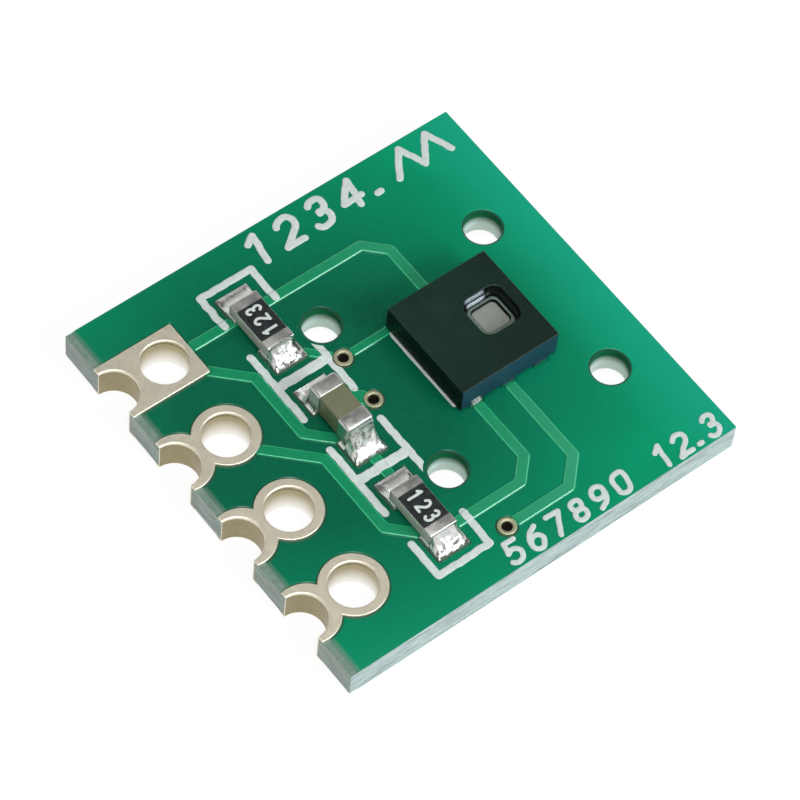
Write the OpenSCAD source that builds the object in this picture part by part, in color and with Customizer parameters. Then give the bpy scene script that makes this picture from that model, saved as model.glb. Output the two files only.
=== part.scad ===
// Temperature and humidity sensor module: a small circuit board with a row of four
// plated pin holes, half holes along one edge, two chip resistors, a chip capacitor
// and a square sensor package with an open window.
// The board lies flat, text side up. +X runs from the half-hole edge to the far edge,
// +Y runs up the pin row to the square land. The origin is under the board's middle,
// level with the undersides of the plated lands.

/* [Board] */
// Length of the board, from the half-hole edge to the far edge
board_l = 11.84; // [11.3:0.02:16]
// Width of the board along the pin row
board_w = 11.58; // [10.8:0.02:16]
// Thickness of the glass-epoxy laminate without its copper and mask
laminate_t = 0.82; // [0.4:0.02:1.6]

/* [Copper] */
// Thickness of the etched foil
foil_t = 0.035; // [0.018:0.001:0.05]
// How far a plated land stands above a covered track
land_proud = 0.005; // [0.005:0.005:0.02]
// Wall thickness of the plating in the holes
barrel_t = 0.03; // [0.02:0.005:0.05]
// Width of the supply, data and ground tracks
track_w = 0.24; // [0.16:0.01:0.3]
// Width of the clock track
clock_track_w = 0.18; // [0.12:0.01:0.24]

/* [Solder mask] */
// Thickness of the solder mask, on the laminate and over the tracks
mask_t = 0.03; // [0.015:0.005:0.04]
// Clearance between the mask and each bare land
mask_gap = 0.04; // [0.02:0.01:0.06]
// Thickness of mask on the sides of a track
mask_side = 0.05; // [0.02:0.01:0.06]
// Bare laminate left along the half-hole edge
mask_setback = 0.18; // [0.06:0.02:0.3]

/* [Pin row] */
// Distance between neighbouring pins
pin_pitch = 2.54; // [2.2:0.01:2.6]
// Distance of the pin holes from the half-hole edge
pin_inset = 1.52; // [1.46:0.02:1.64]
// Offset of the row's middle from the board's middle
row_y = -0.06; // [-0.14:0.02:0.14]
// Bore of a pin hole inside its plating
pin_bore_d = 1.22; // [0.9:0.02:1.26]
// Bore of a half hole inside its plating
edge_bore_d = 1.26; // [0.9:0.02:1.3]
// Diameter of the round land at a pin hole
pin_land_d = 1.72; // [1.6:0.02:1.8]
// Diameter of the land round a half hole
edge_land_d = 1.66; // [1.6:0.02:1.74]
// Inset of that land's centre from the board edge
edge_land_inset = 0.16; // [0.1:0.02:0.26]
// Length of the square-cornered supply land, from the board edge
supply_land_l = 2.29; // [2.26:0.01:2.4]
// Width of the supply land
supply_land_w = 1.7; // [1.6:0.02:1.8]

/* [Vent holes] */
// Diameter of the bare holes
vent_d = 1; // [0.6:0.02:1.1]
// Spacing of the square of holes
vent_pitch = 5.08; // [4.9:0.02:5.3]
// Distance of the square's middle from the half-hole edge
vent_inset = 7.86; // [7.76:0.02:8.02]
// Middle of the square across the board
vent_y = -0.11; // [-0.25:0.02:0.05]
// Clearance between a hole and the mask round it
vent_mask_gap = 0.04; // [0.02:0.01:0.1]

/* [Vias] */
// Bore of a via inside its plating
via_bore_d = 0.27; // [0.2:0.01:0.32]
// Diameter of a via's land
via_land_d = 0.5; // [0.46:0.01:0.56]
// Distance of the clock via from the chip column
clock_via_out = 1.14; // [1.1:0.01:1.16]
// Distance of the clock via below resistor 1
clock_via_down = 1.835; // [1.8:0.005:1.86]
// Distance of the capacitor's ground via from the chip column
capacitor_via_out = 1.02; // [0.98:0.01:1.06]
// Distance of that via above the capacitor's middle
capacitor_via_up = 0.01; // [0:0.01:0.06]
// Distance of the sensor's ground via from the chip column
sensor_via_out = 1.46; // [1.4:0.01:1.52]
// Distance of that via below resistor 2
sensor_via_down = 1.46; // [1.4:0.01:1.48]

/* [Chip parts] */
// Length of the chip parts
chip_l = 1.6; // [1.5:0.02:1.7]
// Width of the chip parts
chip_w = 0.8; // [0.7:0.02:0.86]
// Height of the resistors
resistor_h = 0.45; // [0.35:0.01:0.6]
// Height of the capacitor
capacitor_h = 0.8; // [0.5:0.02:0.9]
// Length of a resistor's end caps
resistor_cap_l = 0.28; // [0.2:0.02:0.4]
// Length of the capacitor's end caps
capacitor_cap_l = 0.42; // [0.3:0.02:0.5]
// Thickness of the metal of the end caps
cap_t = 0.03; // [0.02:0.005:0.04]
// Thickness of the glaze on a resistor
glaze_t = 0.025; // [0.015:0.005:0.03]
// Distance of the column of chip parts from the half-hole edge
chip_inset = 4.04; // [3.98:0.01:4.08]
// Middle of the column across the board
chip_column_y = -0.04; // [-0.1:0.01:0.06]
// Distance between neighbouring chip parts
chip_pitch = 3.23; // [3.17:0.01:3.28]
// Width of a chip land
chip_land_w = 0.93; // [0.9:0.01:1]
// Outer end of a chip land from the middle of its chip
chip_land_reach = 1.28; // [1.2:0.01:1.32]
// Length of a chip land
chip_land_l = 0.8; // [0.7:0.02:0.9]

/* [Places as soldered] */
// Shift of resistor 1 from the middle of its lands, along the board
resistor_1_shift_x = -0.04; // [-0.05:0.005:0.05]
// Shift of resistor 1 across the board
resistor_1_shift_y = -0.045; // [-0.06:0.005:0.06]
// Shift of the capacitor across the board
capacitor_shift_y = 0.04; // [-0.06:0.005:0.06]
// Shift of resistor 2 along the board
resistor_2_shift_x = -0.03; // [-0.05:0.005:0.05]
// Shift of resistor 2 across the board
resistor_2_shift_y = -0.05; // [-0.06:0.005:0.06]

/* [Solder] */
// Thickness of the solder on the lands
solder_t = 0.025; // [0.015:0.005:0.04]
// Height of the full fillets as a share of the chip's height
full_fillet = 0.84; // [0.5:0.02:0.95]
// Height of the lean fillets as a share of the chip's height
lean_fillet = 0.4; // [0.2:0.02:0.6]

/* [Sensor] */
// Side of the square package
sensor_w = 3; // [2.9:0.02:3.1]
// Height of the package
sensor_h = 0.8; // [0.7:0.02:1.2]
// Distance of the package's middle from the half-hole edge
sensor_inset = 8.06; // [8.02:0.01:8.12]
// Middle of the package across the board
sensor_y = -0.05; // [-0.12:0.01:0.04]
// Gap under the package, filled by solder at the leads
sensor_standoff = 0.04; // [0.03:0.005:0.08]
// Distance between neighbouring leads
lead_pitch = 1; // [0.9:0.02:1.1]
// Width of a lead
lead_w = 0.35; // [0.26:0.01:0.4]
// Length of a lead
lead_l = 0.45; // [0.36:0.01:0.5]
// Thickness of the leads and of the paddle
lead_t = 0.15; // [0.1:0.01:0.18]
// How far the sensor lands reach past the package
sensor_land_out = 0.03; // [0.02:0.01:0.16]
// Window's middle from the package's middle, along the board
window_x = 0.58; // [0.5:0.01:0.66]
// Side of the window at the top of the package
window_w = 1.19; // [1.12:0.01:1.3]
// Corner radius of the window at the top
window_r = 0.3; // [0.2:0.01:0.34]
// How much the window narrows on each side, down to the dam
window_taper = 0.1; // [0.04:0.01:0.14]
// Depth of the dam's rim below the top
dam_depth = 0.28; // [0.2:0.01:0.32]
// Height of the dam above the die
dam_h = 0.1; // [0.05:0.01:0.12]
// Width of the dam's wall
dam_w = 0.11; // [0.07:0.01:0.14]

/* [Silkscreen] */
// Width of the printed lines
silk_w = 0.2; // [0.12:0.01:0.24]
// Thickness of the printed lines
silk_t = 0.02; // [0.01:0.005:0.03]
// Sideways shift of the print from the chip lands
silk_shift = 0.06; // [0:0.01:0.08]
// Distance between the two lines that flank a chip
bracket_w = 1.55; // [1.5:0.01:1.6]
// Length of the brackets' legs
bracket_leg = 1.06; // [0.9:0.01:1.1]
// Distance of a bracket's bar beyond the end of the chip land
bracket_out = 0.3; // [0.24:0.01:0.32]
// How far the lines beside the sensor show past it
sensor_line_out = 0.05; // [0.04:0.01:0.14]
// How much shorter these lines are than the package
sensor_line_trim = 0.35; // [0.2:0.01:0.5]
// Clearance between the print and a vent hole
vent_silk_gap = 0.11; // [0.06:0.01:0.14]
// Clearance between the print and a via's land
via_silk_gap = 0.03; // [0.02:0.01:0.05]
// Clearance between the print and a sensor land
lead_silk_gap = 0.05; // [0.04:0.01:0.1]

/* [Hidden] */
$fn = 64;

// Heights
land_t = foil_t + mask_t + land_proud;
under_z = land_t;
top_z = under_z + laminate_t;
mask_z = top_z + mask_t;
land_z = top_z + land_t;
chip_z = land_z + solder_t;
sensor_z = land_z + sensor_standoff;
cut = 0.2;

// Places of the pins and holes
edge_x = -board_l / 2;
pin_x = edge_x + pin_inset;
vent_x = edge_x + vent_inset;
chip_x = edge_x + chip_inset;
sensor_x = edge_x + sensor_inset;
function pin_y(i) = row_y + (1.5 - i) * pin_pitch;
PINS = [0, 1, 2, 3];
SUPPLY = 0;
DATA = 1;
CLOCK = 2;
GROUND = 3;
supply_x = edge_x + supply_land_l;
supply_y = pin_y(SUPPLY) - supply_land_w / 2;
VENTS = [for (i = [-1, 1]) for (j = [-1, 1]) [vent_x + i * vent_pitch / 2, vent_y + j * vent_pitch / 2]];

// Places of the chip parts: resistor 1, capacitor, resistor 2, from the top down
function chip_y(k) = chip_column_y + (1 - k) * chip_pitch;
CHIPS = [0, 1, 2];
RESISTOR_1 = 0;
CAPACITOR = 1;
RESISTOR_2 = 2;
// How far each chip sits from the middle of its lands, as soldered
SLIP = [
    [resistor_1_shift_x, resistor_1_shift_y],
    [0, capacitor_shift_y],
    [resistor_2_shift_x, resistor_2_shift_y]
];
function chip_h(k) = k == CAPACITOR ? capacitor_h : resistor_h;
// Inner edge of a chip land from the chip's middle
land_inner = chip_land_reach - chip_land_l;
// Corner radii of the capacitor's body and of its end caps
body_r = 0.07;
cap_r = 0.1;
// Bare margin and corner radius of a resistor's glaze
glaze_margin = 0.015;
glaze_r = 0.03;
// Bare margin of a chip land round its solder, and how much a fillet narrows to its top
solder_rim = 0.015;
fillet_trim = 0.05;
// Margin of solder at a sensor lead, and how far up the lead's end the solder climbs
toe_margin = 0.01;
lead_climb = 0.8;

// Places of the vias, from the chip each one serves
via_clock_at = [chip_x + clock_via_out, chip_y(RESISTOR_1) - clock_via_down];
via_capacitor_at = [chip_x + capacitor_via_out, chip_y(CAPACITOR) + capacitor_via_up];
via_sensor_at = [chip_x + sensor_via_out, chip_y(RESISTOR_2) - sensor_via_down];
VIAS = [via_clock_at, via_capacitor_at, via_sensor_at];

// Sensor leads: three on each side
LEADS = [-1, 0, 1];
lead_x = [for (i = LEADS) sensor_x + i * lead_pitch];
lead_end = sensor_w / 2;
sensor_top_y = sensor_y + lead_end - lead_l / 2;
sensor_low_y = sensor_y - lead_end + lead_l / 2;
lead_margin = 0.03;
lead_land_w = lead_w + 2 * lead_margin;

// Inside of the sensor, above the package's underside
dam_z = sensor_h - dam_depth;
die_z = dam_z - dam_h;
dam_gap = 0.01;
dam_out = window_w - 2 * (window_taper + dam_gap);
dam_out_r = window_r - window_taper - dam_gap;
dam_in = dam_out - 2 * dam_w;
dam_in_r = 0.14;
die_margin = 0.06;
die_w = dam_out + 2 * die_margin;
window_at = [sensor_x + window_x, sensor_y];
paddle_margin = 0.2;
paddle_l = sensor_w - 2 * paddle_margin;
paddle_w = sensor_w - 2 * (lead_l + paddle_margin);
signal_l = 1.05;
signal_w = 1.5;
signal_t = 0.25;
signal_gap = 0.08;
signal_at = [window_at[0] - die_w / 2 - signal_gap - signal_l / 2, sensor_y];

// Routes of the tracks
run_out = 0.98;
run_x = chip_x - run_out;
bend = 0.53;
ground_bend = 0.65;
land_bite = 0.2;
bite_drop = 0.09;
corner_bite = 0.055;
link_shift = 0.03;
data_drop = 0.195;
tear_reach = [0.3, 0.12];
ground_run_out = 1.16;
// Where the data track leaves its round land: the angle, and the share of the radius
data_exit = -66;
data_root = 0.85;
// Where a track from the left meets a chip's lower land, and where it leaves the run
function bite_y(k) = chip_y(k) - land_inner - bite_drop;
function bite_turn(k) = bite_y(k) + (chip_x - land_bite - run_x);
supply_corner = [supply_x - corner_bite, supply_y + corner_bite];
data_start = [pin_x, pin_y(DATA)]
    + data_root * pin_land_d / 2 * [cos(data_exit), sin(data_exit)];
data_y = chip_y(RESISTOR_2) - land_inner - data_drop;
clock_drop = chip_y(RESISTOR_1) - chip_land_reach + land_bite - via_clock_at[1];
tear_end = [chip_x, chip_y(CAPACITOR) + land_inner] + tear_reach;
route_supply_sensor = [
    [pin_x, pin_y(SUPPLY)],
    [lead_x[1] - bend, pin_y(SUPPLY)],
    [lead_x[1], pin_y(SUPPLY) - bend],
    [lead_x[1], sensor_top_y]
];
route_supply_capacitor = [
    supply_corner + [-land_bite, land_bite],
    [run_x, supply_corner[1] + supply_corner[0] - run_x],
    [run_x, bite_turn(CAPACITOR)],
    [chip_x - land_bite, bite_y(CAPACITOR)]
];
route_supply_link = [
    [chip_x + link_shift, chip_y(CAPACITOR) - chip_land_reach + land_bite],
    [chip_x + link_shift, chip_y(RESISTOR_2) + chip_land_reach - land_bite]
];
route_data_resistor = [
    data_start,
    [run_x, data_start[1] + data_start[0] - run_x],
    [run_x, bite_turn(RESISTOR_2)],
    [chip_x - land_bite, bite_y(RESISTOR_2)]
];
route_data_sensor = [
    [chip_x, data_y],
    [lead_x[0] - bend, data_y],
    [lead_x[0], data_y + bend],
    [lead_x[0], sensor_low_y]
];
route_clock_resistor = [via_clock_at + [-clock_drop, clock_drop], via_clock_at];
route_clock_sensor = [
    via_clock_at,
    [lead_x[0], via_clock_at[1]],
    [lead_x[0], sensor_top_y]
];
route_ground_sensor = [
    via_sensor_at,
    [lead_x[1] - ground_bend, via_sensor_at[1]],
    [lead_x[1], via_sensor_at[1] + ground_bend],
    [lead_x[1], sensor_low_y]
];
route_tear = [via_capacitor_at, tear_end];
// On the underside
clock_rise = via_clock_at[1] - pin_y(CLOCK);
route_clock_under = [
    [pin_x, pin_y(CLOCK)],
    [via_clock_at[0] - clock_rise, pin_y(CLOCK)],
    via_clock_at
];
ground_fall = pin_y(GROUND) - via_sensor_at[1];
ground_x = via_capacitor_at[0] + ground_run_out;
ground_step = ground_x - via_sensor_at[0];
route_ground_under = [
    [pin_x, pin_y(GROUND)],
    [via_sensor_at[0] - ground_fall, pin_y(GROUND)],
    via_sensor_at,
    [ground_x, via_sensor_at[1] + ground_step],
    [ground_x, via_capacitor_at[1] - (ground_x - via_capacitor_at[0])],
    via_capacitor_at
];

// Colours
green = "#0f8a5c";
track_green = "#35a878";
gold = "#c9c0a2";
fibre = "#a9b5a4";
tin = "#bdbdb8";
white = "#dfe3e2";

// Flat outlines

// A track of one width along a route, with round corners and ends
module route(points, w) {
    for (i = [0 : len(points) - 2]) {
        run = points[i + 1] - points[i];
        translate(points[i])
            rotate(atan2(run[1], run[0]))
                translate([0, -w / 2])
                    square([norm(run), w]);
    }
    for (p = points) translate(p) circle(d = w);
}

// A rectangle of a size about its middle, with round corners
module round_rect(l, w, r) {
    square([l - 2 * r, w], center = true);
    square([l, w - 2 * r], center = true);
    for (i = [-1, 1]) for (j = [-1, 1])
        translate([i * (l / 2 - r), j * (w / 2 - r)]) circle(r);
}

// A pin's land with its half-hole land, grown by g, without its bores
module land_outline(i, g = 0) {
    if (i == SUPPLY)
        translate([edge_x - g, supply_y - g])
            square([supply_land_l + 2 * g, supply_land_w + 2 * g]);
    else {
        translate([pin_x, pin_y(i)]) circle(d = pin_land_d + 2 * g);
        translate([edge_x + edge_land_inset, pin_y(i)]) circle(d = edge_land_d + 2 * g);
    }
}

// The pin hole and half hole of one pin, grown by g
module pin_bores(i, g = 0) {
    translate([pin_x, pin_y(i)]) circle(d = pin_bore_d + 2 * g);
    translate([edge_x, pin_y(i)]) circle(d = edge_bore_d + 2 * g);
}

module via_outline(g = 0) {
    for (v = VIAS) translate(v) circle(d = via_land_d + 2 * g);
}

module vent_outline(g = 0) {
    for (v = VENTS) translate(v) circle(d = vent_d + 2 * g);
}

module chip_land_outline(g = 0) {
    for (k = CHIPS) for (s = [-1, 1])
        translate([chip_x, chip_y(k) + s * (chip_land_reach - chip_land_l / 2)])
            square([chip_land_w + 2 * g, chip_land_l + 2 * g], center = true);
}

module sensor_land_outline(g = 0) {
    for (x = lead_x) for (s = [-1, 1])
        translate([x, sensor_y + s * (lead_end + (sensor_land_out - lead_l) / 2)])
            square([lead_land_w + 2 * g, lead_l + sensor_land_out + 2 * g], center = true);
}

// Everything that stays bare on the top, grown by g
module bare_top(g = 0) {
    for (i = PINS) land_outline(i, g);
    via_outline(g);
    chip_land_outline(g);
    sensor_land_outline(g);
}

// Everything that stays bare on the underside, grown by g
module bare_under(g = 0) {
    for (i = PINS) land_outline(i, g);
    via_outline(g);
}

// The board's rectangle, with a strip left off at the half-hole edge
module board_outline(setback = 0) {
    translate([edge_x + setback, -board_w / 2]) square([board_l - setback, board_w]);
}

module supply_routes(g = 0) {
    route(route_supply_sensor, track_w + 2 * g);
    route(route_supply_capacitor, track_w + 2 * g);
    route(route_supply_link, track_w + 2 * g);
}

module data_routes(g = 0) {
    route(route_data_resistor, track_w + 2 * g);
    route(route_data_sensor, track_w + 2 * g);
}

module clock_routes(g = 0) {
    route(route_clock_resistor, clock_track_w + 2 * g);
    route(route_clock_sensor, clock_track_w + 2 * g);
}

// The track to the sensor, and the teardrop that widens from the capacitor to its via
module ground_routes(g = 0) {
    route(route_ground_sensor, track_w + 2 * g);
    route(route_tear, track_w + 2 * g);
    run = tear_end - via_capacitor_at;
    translate(via_capacitor_at)
        rotate(atan2(run[1], run[0]))
            polygon([
                [0, via_land_d / 2 + g],
                [0, -via_land_d / 2 - g],
                [norm(run), -track_w / 2 - g],
                [norm(run), track_w / 2 + g]
            ]);
}

module top_routes(g = 0) {
    supply_routes(g);
    data_routes(g);
    clock_routes(g);
    ground_routes(g);
}

module under_routes(g = 0) {
    route(route_clock_under, clock_track_w + 2 * g);
    route(route_ground_under, track_w + 2 * g);
}

// Board

module board_laminate() {
    color(fibre)
        translate([0, 0, under_z])
            linear_extrude(laminate_t)
                difference() {
                    board_outline();
                    for (i = PINS) pin_bores(i, barrel_t);
                    vent_outline();
                    for (v = VIAS) translate(v) circle(d = via_bore_d + 2 * barrel_t);
                }
}

// A mask layer lying on z = 0: a film with a ridge over each track
module mask_layer() {
    difference() {
        linear_extrude(mask_t)
            difference() {
                board_outline(mask_setback);
                children(0);
                vent_outline(vent_mask_gap);
            }
        linear_extrude(foil_t) children(1);
    }
    difference() {
        linear_extrude(foil_t + mask_t)
            difference() {
                children(2);
                children(0);
            }
        linear_extrude(foil_t) children(1);
    }
}

module solder_mask_top() {
    color(green)
        translate([0, 0, top_z])
            mask_layer() {
                bare_top(mask_gap);
                top_routes();
                top_routes(mask_side);
            }
}

module solder_mask_bottom() {
    color(green)
        translate([0, 0, under_z])
            mirror([0, 0, 1])
                mask_layer() {
                    bare_under(mask_gap);
                    under_routes();
                    under_routes(mask_side);
                }
}

// One pin's plating: a land on each face, the hole's wall and the half hole's wall
module plated_land(i) {
    color(gold)
        intersection() {
            difference() {
                union() {
                    for (z = [0, top_z])
                        translate([0, 0, z])
                            linear_extrude(land_t) land_outline(i);
                    linear_extrude(land_z) pin_bores(i, barrel_t);
                }
                translate([0, 0, -cut])
                    linear_extrude(land_z + 2 * cut) pin_bores(i);
            }
            linear_extrude(land_z) board_outline();
        }
}

module land_supply() { plated_land(SUPPLY); }
module land_data() { plated_land(DATA); }
module land_clock() { plated_land(CLOCK); }
module land_ground() { plated_land(GROUND); }

module plated_via(at) {
    color(gold)
        translate([at[0], at[1], 0])
            difference() {
                union() {
                    for (z = [0, top_z]) translate([0, 0, z]) cylinder(d = via_land_d, h = land_t);
                    cylinder(d = via_bore_d + 2 * barrel_t, h = land_z);
                }
                translate([0, 0, -cut]) cylinder(d = via_bore_d, h = land_z + 2 * cut);
            }
}

module via_clock() { plated_via(via_clock_at); }
module via_ground_capacitor() { plated_via(via_capacitor_at); }
module via_ground_sensor() { plated_via(via_sensor_at); }

// A layer of track foil on the top face, which stops at the lands
module top_foil() {
    color(track_green)
        translate([0, 0, top_z])
            linear_extrude(foil_t)
                difference() {
                    children();
                    bare_top();
                }
}

// The same on the underside
module under_foil() {
    color(track_green)
        translate([0, 0, under_z - foil_t])
            linear_extrude(foil_t)
                difference() {
                    children();
                    bare_under();
                }
}

module track_supply() { top_foil() supply_routes(); }
module track_data() { top_foil() data_routes(); }
module track_clock() { top_foil() clock_routes(); }
module track_ground() { top_foil() ground_routes(); }
module track_clock_under() { under_foil() route(route_clock_under, clock_track_w); }
module track_ground_under() { under_foil() route(route_ground_under, track_w); }

module chip_lands() {
    color(gold) translate([0, 0, top_z]) linear_extrude(land_t) chip_land_outline();
}

module sensor_lands() {
    color(gold) translate([0, 0, top_z]) linear_extrude(land_t) sensor_land_outline();
}

// Chip parts, each drawn about its own middle with its length along Y

// Moves a chip part onto its lands
module at_chip(k) {
    translate([chip_x + SLIP[k][0], chip_y(k) + SLIP[k][1], chip_z]) children();
}

// A block with rounded long edges and rounded ends, standing on z = 0
module soft_block(w, l, h, r) {
    intersection() {
        linear_extrude(h) round_rect(w, l, r);
        translate([0, l / 2, h / 2]) rotate([90, 0, 0]) linear_extrude(l) round_rect(w, h, r);
        translate([-w / 2, 0, h / 2]) rotate([90, 0, 90]) linear_extrude(w) round_rect(l, h, r);
    }
}

module resistor_core() {
    translate([-chip_w / 2, -chip_l / 2 + cap_t, cap_t])
        cube([chip_w, chip_l - 2 * cap_t, resistor_h - 2 * cap_t]);
}

module resistor_body(k) {
    color(white) at_chip(k) resistor_core();
}

module resistor_glaze(k) {
    glaze_l = chip_l - 2 * resistor_cap_l;
    color("#1e2629")
        at_chip(k)
            translate([0, 0, resistor_h - cap_t])
                linear_extrude(glaze_t) round_rect(chip_w - 2 * glaze_margin, glaze_l, glaze_r);
}

// Metal that wraps the two ends over the top and bottom, and not the sides
module resistor_caps(k) {
    color(tin)
        at_chip(k)
            difference() {
                translate([0, 0, resistor_h / 2])
                    rotate([90, 0, 90])
                        linear_extrude(chip_w, center = true)
                            round_rect(chip_l, resistor_h, cap_t);
                resistor_core();
                cube([2 * chip_w, chip_l - 2 * resistor_cap_l, 2 * resistor_h], center = true);
            }
}

module resistor_1_body() { resistor_body(RESISTOR_1); }
module resistor_1_glaze() { resistor_glaze(RESISTOR_1); }
module resistor_1_caps() { resistor_caps(RESISTOR_1); }
module resistor_2_body() { resistor_body(RESISTOR_2); }
module resistor_2_glaze() { resistor_glaze(RESISTOR_2); }
module resistor_2_caps() { resistor_caps(RESISTOR_2); }

module capacitor_core() {
    translate([0, 0, cap_t])
        soft_block(chip_w - 2 * cap_t, chip_l - 2 * cap_t, capacitor_h - 2 * cap_t, body_r);
}

module capacitor_body() {
    color("#8a8560") at_chip(CAPACITOR) capacitor_core();
}

// Metal cups over both ends
module capacitor_caps() {
    color(tin)
        at_chip(CAPACITOR)
            difference() {
                soft_block(chip_w, chip_l, capacitor_h, cap_r);
                capacitor_core();
                cube([2 * chip_w, chip_l - 2 * capacitor_cap_l, 3 * capacitor_h], center = true);
            }
}

// Solder

// A hollow fillet that climbs from y = 0, z = h down to y = l, narrowing upwards
module fillet(l, h, low_w, high_w, step = 15) {
    intersection() {
        rotate([90, 0, 90])
            linear_extrude(low_w, center = true)
                polygon(concat([[0, 0]], [for (a = [0 : step : 90]) [l * (1 - sin(a)), h * (1 - cos(a))]]));
        rotate([90, 0, 180])
            linear_extrude(l)
                polygon([[-low_w / 2, 0], [low_w / 2, 0], [high_w / 2, h], [-high_w / 2, h]]);
    }
}

// The solder of one chip: a film on each land and a fillet at each end, full at the
// near end and lean at the far end
module chip_solder(k) {
    film_w = chip_land_w - 2 * solder_rim;
    color(tin)
        for (s = [-1, 1]) {
            chip_end = s * SLIP[k][1] + chip_l / 2;
            toe = chip_land_reach - solder_rim - chip_end;
            rise = (s < 0 ? full_fillet : lean_fillet) * chip_h(k);
            translate([chip_x, chip_y(k), land_z])
                to_end(s) {
                    translate([-film_w / 2, land_inner + solder_rim, 0])
                        cube([film_w, chip_land_l - 2 * solder_rim, solder_t]);
                    translate([SLIP[k][0], chip_end, solder_t])
                        fillet(toe, rise, film_w - 2 * abs(SLIP[k][0]), chip_w - 2 * fillet_trim);
                }
        }
}

// Turns a shape drawn for the +Y end round to the other end when s is negative
module to_end(s) {
    if (s > 0) children();
    else mirror([0, 1, 0]) children();
}

module solder_resistor_1() { chip_solder(RESISTOR_1); }
module solder_capacitor() { chip_solder(CAPACITOR); }
module solder_resistor_2() { chip_solder(RESISTOR_2); }

// Solder under each sensor lead, with a small toe up the lead's end
module solder_sensor() {
    toe = sensor_land_out - toe_margin;
    color(tin)
        for (x = lead_x) for (s = [-1, 1])
            translate([x, sensor_y, land_z])
                to_end(s) {
                    translate([-lead_w / 2, lead_end - lead_l, 0])
                        cube([lead_w, lead_l + toe, sensor_standoff]);
                    translate([0, lead_end, sensor_standoff])
                        fillet(toe, lead_climb * lead_t, lead_w, lead_w - 2 * toe_margin, 45);
                }
}

// Sensor, drawn above the package's underside

module at_sensor() {
    translate([0, 0, sensor_z]) children();
}

module lead_blocks() {
    for (x = lead_x) for (s = [-1, 1])
        translate([x, sensor_y + s * (lead_end - lead_l / 2), lead_t / 2])
            cube([lead_w, lead_l, lead_t], center = true);
}

module paddle_block() {
    translate([sensor_x, sensor_y, lead_t / 2]) cube([paddle_l, paddle_w, lead_t], center = true);
}

module die_block() {
    translate([window_at[0], window_at[1], lead_t])
        linear_extrude(die_z - lead_t) square(die_w, center = true);
}

module signal_block() {
    translate([signal_at[0], signal_at[1], lead_t])
        linear_extrude(signal_t) square([signal_l, signal_w], center = true);
}

// A square well with round corners that narrows downwards by equal amounts all round
module tapered_well(w, r, taper, depth) {
    c = w / 2 - r;
    for (i = [-1, 1]) for (j = [-1, 1])
        translate([i * c, j * c]) cylinder(r1 = r - taper, r2 = r, h = depth);
    for (turn = [0, 90])
        rotate([90, 0, turn])
            linear_extrude(2 * c, center = true)
                polygon([
                    [-c - r + taper, 0],
                    [c + r - taper, 0],
                    [c + r, depth],
                    [-c - r, depth]
                ]);
}

module sensor_cover() {
    color("#1b2925")
        at_sensor()
            difference() {
                translate([sensor_x, sensor_y, sensor_h / 2])
                    cube([sensor_w, sensor_w, sensor_h], center = true);
                lead_blocks();
                paddle_block();
                die_block();
                signal_block();
                translate([window_at[0], window_at[1], die_z])
                    linear_extrude(dam_h) round_rect(dam_out, dam_out, dam_out_r);
                translate([window_at[0], window_at[1], dam_z])
                    tapered_well(window_w, window_r, window_taper, dam_depth);
            }
}

module sensor_leads() {
    color(tin) at_sensor() lead_blocks();
}

module sensor_paddle() {
    color(tin) at_sensor() paddle_block();
}

module sensing_die() {
    color("#9c9e92") at_sensor() die_block();
}

module signal_chip() {
    color("#5a6066") at_sensor() signal_block();
}

// The rim that keeps the moulding off the sensing face
module window_dam() {
    color("#6f8078")
        at_sensor()
            translate([window_at[0], window_at[1], die_z])
                linear_extrude(dam_h)
                    difference() {
                        round_rect(dam_out, dam_out, dam_out_r);
                        round_rect(dam_in, dam_in, dam_in_r);
                    }
}

// Silkscreen

// A bracket round one end of a chip: a bar beyond the end and a leg down each side
module bracket() {
    bar_y = chip_land_reach + bracket_out;
    route([
        [-bracket_w / 2, bar_y - bracket_leg],
        [-bracket_w / 2, bar_y],
        [bracket_w / 2, bar_y],
        [bracket_w / 2, bar_y - bracket_leg]
    ], silk_w);
}

// All printed lines: two brackets for each chip and a line at each side of the sensor
module silk_outline() {
    difference() {
        union() {
            for (k = CHIPS) for (s = [0, 1])
                translate([chip_x + silk_shift, chip_y(k)]) mirror([0, s, 0]) bracket();
            for (s = [-1, 1])
                translate([sensor_x + s * (sensor_w / 2 + sensor_line_out - silk_w / 2), sensor_y])
                    square([silk_w, sensor_w - sensor_line_trim], center = true);
        }
        vent_outline(vent_silk_gap);
        via_outline(via_silk_gap);
        sensor_land_outline(lead_silk_gap);
    }
}

// The print follows the mask: it lies on the film and climbs over each ridge
module silkscreen() {
    color(white)
        translate([0, 0, mask_z])
            difference() {
                union() {
                    linear_extrude(silk_t) silk_outline();
                    linear_extrude(foil_t + silk_t)
                        intersection() {
                            silk_outline();
                            top_routes(mask_side + silk_t);
                        }
                }
                translate([0, 0, -cut])
                    linear_extrude(foil_t + cut) top_routes(mask_side);
            }
}

board_laminate();
solder_mask_top();
solder_mask_bottom();
land_supply();
land_data();
land_clock();
land_ground();
via_clock();
via_ground_capacitor();
via_ground_sensor();
track_supply();
track_data();
track_clock();
track_ground();
track_clock_under();
track_ground_under();
chip_lands();
sensor_lands();
solder_resistor_1();
solder_capacitor();
solder_resistor_2();
solder_sensor();
resistor_1_body();
resistor_1_glaze();
resistor_1_caps();
resistor_2_body();
resistor_2_glaze();
resistor_2_caps();
capacitor_body();
capacitor_caps();
sensor_cover();
sensor_leads();
sensor_paddle();
sensing_die();
window_dam();
signal_chip();
silkscreen();
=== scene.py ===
"""Looks of a temperature and humidity sensor module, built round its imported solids.

Lengths inside the mesh code are millimetres. Every mesh is turned to metres as it is made.
"""

import math

import bmesh
import bpy
import numpy as np
from bpy.props import FloatProperty, FloatVectorProperty, PointerProperty
from mathutils import Matrix, Vector, noise
from mathutils.geometry import delaunay_2d_cdt


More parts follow.
